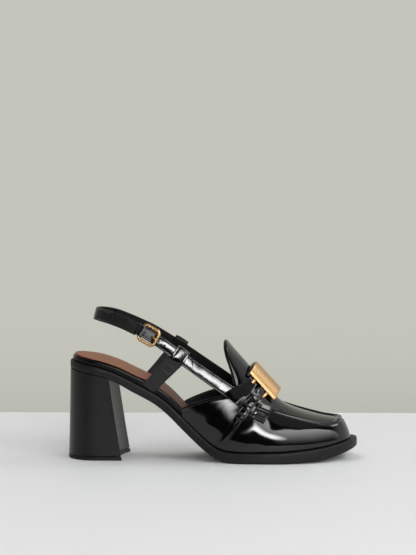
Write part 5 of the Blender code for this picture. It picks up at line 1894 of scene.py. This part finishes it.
def make_side_straps(path):
    for side, word in SIDES:
        along, run = side_strap_run(path, side)
        lengths = run_lengths(run)
        rings = []
        for i, point in enumerate(run):
            face = along.cross(heading(run, i)).normalized()
            left = max(0.0, (lengths[-1] - lengths[i]) / SIDE_STRAP_ROUND_END)
            half = SIDE_STRAP_WIDTH / 2 * end_share(left, SIDE_STRAP_TIP)
            section = strap_section(FLAT_STRAP, half, SIDE_STRAP_LAYER / 2)
            rings.append([point + along * a + face * h for a, h in section])
        piece = ring_piece("side_strap_leather_" + word, rings, creased_patent(), CORNER)
        line_inside(piece)
        dress(piece, "patent", "side_strap_" + word)


# Sewing and holes by Geometry Nodes


def node_group(name, *labels):
    """Return a new geometry tree, its writer, its inputs by name and the outward directions."""
    group = bpy.data.node_groups.new(name, "GeometryNodeTree")
    group.interface.new_socket("Geometry", in_out="INPUT", socket_type="NodeSocketGeometry")
    for label in labels:
        group.interface.new_socket(label, in_out="INPUT", socket_type="NodeSocketFloat")
    group.interface.new_socket("Finish", in_out="INPUT", socket_type="NodeSocketMaterial")
    group.interface.new_socket("Geometry", in_out="OUTPUT", socket_type="NodeSocketGeometry")
    tree = Tree(group)
    outputs = group.nodes.new("NodeGroupInput").outputs
    given = {item.name: Socket(tree, item) for item in outputs if item.name}
    out = tree.add("GeometryNodeInputNamedAttribute", {"data_type": "FLOAT_VECTOR"}, {"Name": "out"})
    return group, tree, given, out


def end_tree(tree, geometry, finish_material):
    """Give a tree's geometry its finish and send it out."""
    dressed = tree.add("GeometryNodeSetMaterial", None,
                       {"Geometry": geometry, "Material": finish_material})
    tree.add("NodeGroupOutput", None, {"Geometry": dressed})


def stitch_tree():
    """Return the tree of a run of stitches along each line, lying on the surface that it follows."""
    made = bpy.data.node_groups.get("stitch run")
    if made:
        return made
    group, tree, given, out = node_group("stitch run", "Pitch", "Length", "Width", "Turn")
    line = tree.add("GeometryNodeMeshToCurve", None, {"Mesh": given["Geometry"]})
    points = tree.add("GeometryNodeCurveToPoints", {"mode": "LENGTH"},
                      {"Curve": line, "Length": given["Pitch"]})
    tangent = Socket(tree, points.socket.node.outputs["Tangent"])
    lengthwise = tree.add("FunctionNodeAlignRotationToVector", {"axis": "X"}, {"Vector": tangent})
    upright = tree.add("FunctionNodeAlignRotationToVector", {"axis": "Z", "pivot_axis": "X"},
                       {"Rotation": lengthwise, "Vector": out})
    slant = tree.add("FunctionNodeAxisAngleToRotation", None,
                     {"Axis": (0.0, 0.0, 1.0), "Angle": given["Turn"]})
    turned = tree.add("FunctionNodeRotateRotation", {"rotation_space": "LOCAL"},
                      {"Rotation": upright, "Rotate By": slant})
    bead = tree.add("GeometryNodeMeshUVSphere", None, {"Segments": 8, "Rings": 5, "Radius": 0.5})
    size = tree.add("ShaderNodeCombineXYZ", None,
                    {0: given["Length"], 1: given["Width"], 2: given["Width"]})
    thread = tree.add("GeometryNodeInstanceOnPoints", None,
                      {"Points": points, "Instance": bead, "Rotation": turned, "Scale": size})
    solid = tree.add("GeometryNodeRealizeInstances", None, {"Geometry": thread})
    smooth = tree.add("GeometryNodeSetShadeSmooth", None, {"Geometry": solid})
    end_tree(tree, smooth, given["Finish"])
    return group


def punch_tree():
    """Return the tree of a round punch standing on each point, square to the surface there."""
    made = bpy.data.node_groups.get("strap punch")
    if made:
        return made
    group, tree, given, out = node_group("strap punch", "Width", "Depth")
    upright = tree.add("FunctionNodeAlignRotationToVector", {"axis": "Z"}, {"Vector": out})
    pin = tree.add("GeometryNodeMeshCylinder", None, {"Vertices": 16, "Radius": 0.5, "Depth": 1.0})
    size = tree.add("ShaderNodeCombineXYZ", None,
                    {0: given["Width"], 1: given["Width"], 2: given["Depth"]})
    pins = tree.add("GeometryNodeInstanceOnPoints", None,
                    {"Points": given["Geometry"], "Instance": pin, "Rotation": upright, "Scale": size})
    solid = tree.add("GeometryNodeRealizeInstances", None, {"Geometry": pins})
    end_tree(tree, solid, given["Finish"])
    return group


def guide_mesh(name, runs):
    """Return a mesh of lines, each a list of points and outward directions in millimetres."""
    verts, edges, outs = [], [], []
    for run in runs:
        edges += [(len(verts) + k, len(verts) + k + 1) for k in range(len(run) - 1)]
        verts += [point * MM for point, _ in run]
        outs += [channel for _, out in run for channel in out]
    mesh = bpy.data.meshes.new(name)
    mesh.from_pydata(verts, edges, [])
    mesh.attributes.new("out", "FLOAT_VECTOR", "POINT").data.foreach_set("vector", outs)
    return mesh


def plain_mesh(piece):
    """Return a piece's finished surface as a new mesh."""
    shape = piece.evaluated_get(bpy.context.evaluated_depsgraph_get())
    return bpy.data.meshes.new_from_object(shape)


def grow(name, runs, group, values):
    """Run a geometry tree on lines and return its result as a plain mesh."""
    guide = link_mesh(name + "_guide", guide_mesh(name + "_guide", runs))
    modifier = guide.modifiers.new(group.name, "NODES")
    modifier.node_group = group
    for item in group.interface.items_tree:
        if item.in_out == "INPUT" and item.name in values:
            modifier[item.identifier] = values[item.name]
    mesh = plain_mesh(guide)
    guide.modifiers.remove(modifier)
    bpy.data.objects.remove(guide)
    mesh.name = name
    return mesh


def sew(name, runs, pitch, turn=0.0):
    sizes = detail()
    values = {"Pitch": pitch, "Length": sizes.stitch_length, "Width": sizes.thread_width, "Turn": turn,
              "Finish": sewing_thread()}
    dress(link_mesh(name, grow(name, runs, stitch_tree(), values)), "patent")


def punch_holes(strap, run):
    """Cut blind holes in a strap at points of its outer face."""
    values = {"Width": detail().hole_width, "Depth": HOLE_DEPTH * MM, "Finish": lining_leather()}
    punch = link_mesh("strap_punch", grow("strap_punch", [run], punch_tree(), values))
    cut = strap.modifiers.new("holes", "BOOLEAN")
    cut.operation = "DIFFERENCE"
    cut.object = punch
    mesh = plain_mesh(strap)
    strap.modifiers.remove(cut)
    strap.data = mesh
    bpy.data.objects.remove(punch)


def settle(points, name):
    """Lay points in millimetres on the finished surface of a piece, with its outward directions."""
    tree = BVHTree.FromObject(bpy.data.objects[name], bpy.context.evaluated_depsgraph_get())
    run = []
    for point in points:
        spot, normal, _, _ = tree.find_nearest(point * MM)
        run.append((spot / MM, normal))
    return run


def strap_seams(path, stretch, widths):
    """Return the two seam lines of a stretch of the sling."""
    start, end = stretch
    count = max(2, round((end - start) / SLING_STEP))
    runs = []
    for sign in (-1, 1):
        run = []
        for i in range(count + 1):
            t = i / count
            middle, _, up, out = path.frame(mix(start, end, t))
            half = mix(*widths, t) / 2 - STRAP_SEAM_INSET
            run.append((middle + up * (sign * half) + out * (STRAP_SEAM_LIFT * SLING_THICKNESS / 2), out))
        runs.append(run)
    return runs


def sew_sling(path):
    runs = sling_stretches(path)
    lines = strap_seams(path, runs["lateral"], (SLING_FRONT_WIDTH, SLING_FRONT_WIDTH))
    lines += strap_seams(path, runs["back"], (SLING_BACK_WIDTH, SLING_BACK_WIDTH))
    lines += strap_seams(path, runs["medial"], (SLING_BACK_WIDTH, SLING_FRONT_WIDTH))
    sew("sling_stitches", lines, detail().stitch_pitch)


def sew_ridge():
    row = len(WALL_SHARES) + [r.away for r in RIDGE_ROLL].index(RIDGE_SEAM)
    lateral, medial = ([ridge_columns(p, side)[row] for p in RIDGE_SEAM_PLACES] for side, _ in SIDES)
    run = settle(smooth_run(lateral + medial[-2::-1], SEAM_STEP), "patent_upper")
    sew("ridge_stitches", [run], detail().ridge_pitch, RIDGE_STITCH_TURN)


def sew_topline():
    runs = []
    for side, _ in SIDES:
        points = []
        for u in TOPLINE_STATIONS:
            total = run_lengths(quarter_columns(u, side, TOPLINE_SHARES))[-1]
            points += quarter_columns(u, side, (1.0 - TOPLINE_SEAM / total,))
        runs.append(settle(smooth_run(points, SEAM_STEP), "patent_upper"))
    sew("topline_stitches", runs, detail().stitch_pitch)


def sew_saddle():
    runs = []
    lift = GAP + SADDLE_THICKNESS
    for side, _ in SIDES:
        edges = saddle_edges(side)
        lower = [saddle_point(edges, SADDLE_SEAM_LOWER, t, lift) for t in SADDLE_SEAM_LOWER_STEPS]
        rear = [saddle_point(edges, share, SADDLE_SEAM_REAR, lift) for share in SADDLE_SEAM_REAR_SHARES]
        for points in (lower, rear):
            runs.append(settle(smooth_run(points, SEAM_STEP), "saddle_leather"))
    sew("saddle_stitches", runs, detail().stitch_pitch)


def sew_side_straps(path):
    """Sew a box of stitches on the flap of each side strap."""
    runs = []
    for side, word in SIDES:
        along, run = side_strap_run(path, side)
        forward = run[-1] - run[-FLAP_BACK]
        lift = along.cross(forward).normalized() * SIDE_STRAP_LAYER
        low, high = (run[-1] - forward.normalized() * away + lift for away in FLAP_SEAM)
        half = along * FLAP_SEAM_HALF
        corners = (low - half, low + half, high + half, high - half)
        for start, end in zip(corners, corners[1:] + corners[:1]):
            points = [start.lerp(end, share) for share in FLAP_SEAM_SHARES]
            runs.append(settle(points, "side_strap_leather_" + word))
    sew("side_strap_stitches", runs, detail().stitch_pitch)


# Stage


def make_stage():
    settings = stage()
    world = bpy.data.worlds.new("room")
    world.use_nodes = True
    world.node_tree.nodes["Background"].inputs["Color"].default_value = (*settings.room, 1.0)
    bpy.context.scene.world = world
    floor = stage_plane("floor", [(x, y, 0.0) for x, y in FLOOR], floor_paint())
    wall = stage_plane("wall", [(x, WALL_Y, z) for x, z in WALL], wall_paint())
    light_screen()
    bpy.context.scene.view_settings.view_transform = "Standard"
    light = bpy.data.lights.new("ceiling light", "AREA")
    light.size = CEILING_SIZE
    light.energy = settings.ceiling
    ceiling = bpy.data.objects.new("ceiling light", light)
    ceiling.location = CEILING_PLACE
    ceiling.visible_glossy = False
    bpy.context.scene.collection.objects.link(ceiling)
    camera = bpy.data.objects.new("camera", bpy.data.cameras.new("camera"))
    camera.location = CAMERA_PLACE
    camera.rotation_euler = (CAMERA_AIM - CAMERA_PLACE).to_track_quat("-Z", "Y").to_euler()
    camera.data.lens = CAMERA_LENS
    camera.data.sensor_width = CAMERA_SENSOR
    camera.data.clip_end = CAMERA_REACH
    bpy.context.scene.collection.objects.link(camera)
    bpy.context.scene.camera = camera


def screen_glow(turn, rise):
    """Return the light of the screen in one direction from the shoe."""
    settings = stage()
    lift = ease((rise - TOP_LIGHT_RISE) / TOP_LIGHT_FADE)
    glow = side_glow(turn) * (1.0 - lift) + settings.room[0] * lift
    top = window_top(turn)
    if WINDOW[0].turn < turn < WINDOW[-1].turn and 0.0 < rise < top:
        edge = ease((top - rise) / WINDOW_EDGE)
        glow += settings.window * window_share(turn) * edge * (rise / top) ** WINDOW_FALL
    x, z = turn - LAMP_TURN, rise - LAMP_RISE + LAMP_BEND * min(0.0, turn) ** 2
    along = (x * math.cos(LAMP_SLOPE) + z * math.sin(LAMP_SLOPE)) / LAMP_LENGTH
    along = max(along, along / LAMP_TAIL)
    width = LAMP_NARROW + (LAMP_WIDTH - LAMP_NARROW) * ease(0.5 + LAMP_SPREAD * along)
    over = (z * math.cos(LAMP_SLOPE) - x * math.sin(LAMP_SLOPE)) / width
    glow += settings.lamp * max(0.0, 1.0 - along * along - over * over) ** 2
    away = math.hypot((turn - SPOT_TURN) * SPOT_WIDEN, rise - SPOT_RISE)
    return glow + settings.spot * ease(2.0 - 2.0 * away / SPOT_REACH)


def light_screen():
    """Make the screen of light, which the camera doesn't see."""
    turns = range(SCREEN_TURNS[0], SCREEN_TURNS[1] + 1, SCREEN_STEP)
    rises = range(SCREEN_RISES[0], SCREEN_RISES[1] + 1, SCREEN_STEP)
    verts, glows = [], []
    for turn in turns:
        for rise in rises:
            a, b = math.radians(turn), math.radians(rise)
            ray = Vector((math.sin(a) * math.cos(b), -math.cos(a) * math.cos(b), math.sin(b)))
            verts.append(ray * SCREEN_RADIUS)
            glow = screen_glow(turn, rise)
            glows += [glow, glow, glow, 1.0]
    mesh = bpy.data.meshes.new("light_screen")
    mesh.from_pydata(verts, [], grid_faces(len(turns), len(rises)))
    mesh.attributes.new("glow", "FLOAT_COLOR", "POINT").data.foreach_set("color", glows)
    mesh.materials.append(screen_paint())
    screen = bpy.data.objects.new("light_screen", mesh)
    screen.visible_camera = False
    bpy.context.scene.collection.objects.link(screen)
    return screen


@painted("light screen")
def screen_paint(tree):
    glow = tree.add("ShaderNodeAttribute", {"attribute_name": "glow"}, out="Color")
    return {"Base Color": (0.0, 0.0, 0.0, 1.0), "Emission Color": glow, "Emission Strength": 1.0,
            "Specular IOR Level": 0.0}


def stage_plane(name, corners, paint):
    mesh = bpy.data.meshes.new(name)
    mesh.from_pydata(corners, [], [tuple(range(len(corners)))])
    mesh.materials.append(paint)
    plane = bpy.data.objects.new(name, mesh)
    bpy.context.scene.collection.objects.link(plane)
    return plane


@painted("pale floor")
def floor_paint(_tree):
    return {"Base Color": (*stage().floor, 1.0), "Roughness": FLOOR_ROUGHNESS}


@painted("plain wall")
def wall_paint(tree):
    # Painted light and shade: the wall glows by itself instead of being lit, and is darker toward its foot
    rise = (tree.axis("Z") - WALL_FOOT) * (1.0 / WALL_FADE)
    fall = tree.ramp(rise, *WALL_SHADE)
    colour = stage().wall
    return {
        "Base Color": (0.0, 0.0, 0.0, 1.0),
        "Emission Color": tree.blend(fall, shade(colour, 0.0), shade(colour, 1.0)),
        "Emission Strength": 1.0,
        "Specular IOR Level": 0.0,
    }


# Operators, panel and registration


class LOAFER_OT_stage(bpy.types.Operator):
    """Set the floor, the wall, the light screen and the camera"""
    bl_idname = "loafer.stage"
    bl_label = "Stage"

    def execute(self, context):
        make_stage()
        return {"FINISHED"}


class LOAFER_OT_sole(bpy.types.Operator):
    """Make the outsole, the block heel and its top piece"""
    bl_idname = "loafer.sole"
    bl_label = "Sole and heel"

    def execute(self, context):
        make_outsole()
        make_heel()
        return {"FINISHED"}


class LOAFER_OT_footbed(bpy.types.Operator):
    """Make the wrapped footbed and the tan sock"""
    bl_idname = "loafer.footbed"
    bl_label = "Footbed and sock"

    def execute(self, context):
        make_footbed()
        return {"FINISHED"}


class LOAFER_OT_upper(bpy.types.Operator):
    """Make the upper with its moccasin ridge, and the tongue"""
    bl_idname = "loafer.upper"
    bl_label = "Upper and tongue"

    def execute(self, context):
        make_upper()
        make_tongue()
        return {"FINISHED"}


class LOAFER_OT_vamp(bpy.types.Operator):
    """Make the saddle, the narrow straps, the folded tabs and the metal plate"""
    bl_idname = "loafer.vamp"
    bl_label = "Saddle, straps and plate"

    def execute(self, context):
        make_saddle()
        make_vamp_straps()
        make_side_tabs()
        make_plate()
        return {"FINISHED"}


class LOAFER_OT_sling(bpy.types.Operator):
    """Make the sling, the elastic, the buckle and the side straps"""
    bl_idname = "loafer.sling"
    bl_label = "Sling and buckle"

    def execute(self, context):
        path = SlingPath()
        make_sling(path)
        make_buckle(path)
        make_buckle_tab(path)
        make_sling_end(path)
        make_side_straps(path)
        return {"FINISHED"}


class LOAFER_OT_sewing(bpy.types.Operator):
    """Sew the sling, the ridge, the topline, the saddle and the side straps"""
    bl_idname = "loafer.sewing"
    bl_label = "Sewing"

    def execute(self, context):
        sew_sling(SlingPath())
        sew_ridge()
        sew_topline()
        sew_saddle()
        sew_side_straps(SlingPath())
        return {"FINISHED"}


STEPS = (LOAFER_OT_stage, LOAFER_OT_sole, LOAFER_OT_footbed, LOAFER_OT_upper, LOAFER_OT_vamp,
         LOAFER_OT_sling, LOAFER_OT_sewing)


class LOAFER_PT_sidebar(bpy.types.Panel):
    """The loafer's steps and settings"""
    bl_idname = "LOAFER_PT_sidebar"
    bl_label = "Slingback loafer"
    bl_space_type = "VIEW_3D"
    bl_region_type = "UI"
    bl_category = "Loafer"

    def draw(self, context):
        scene = context.scene
        for settings in (scene.loafer_finish, scene.loafer_detail, scene.loafer_stage):
            box = self.layout.box()
            for name in settings.__annotations__:
                box.prop(settings, name)
        for step in STEPS:
            self.layout.operator(step.bl_idname)


CLASSES = (LoaferFinish, LoaferDetail, LoaferStage, *STEPS, LOAFER_PT_sidebar)


def register():
    for item in CLASSES:
        bpy.utils.register_class(item)
    bpy.types.Scene.loafer_finish = PointerProperty(type=LoaferFinish)
    bpy.types.Scene.loafer_detail = PointerProperty(type=LoaferDetail)
    bpy.types.Scene.loafer_stage = PointerProperty(type=LoaferStage)


def unregister():
    del bpy.types.Scene.loafer_stage
    del bpy.types.Scene.loafer_detail
    del bpy.types.Scene.loafer_finish
    for item in reversed(CLASSES):
        bpy.utils.unregister_class(item)


def main():
    register()
    bpy.ops.loafer.stage()
    bpy.ops.loafer.sole()
    bpy.ops.loafer.footbed()
    bpy.ops.loafer.upper()
    bpy.ops.loafer.vamp()
    bpy.ops.loafer.sling()
    bpy.ops.loafer.sewing()


if __name__ == "__main__":
    main()
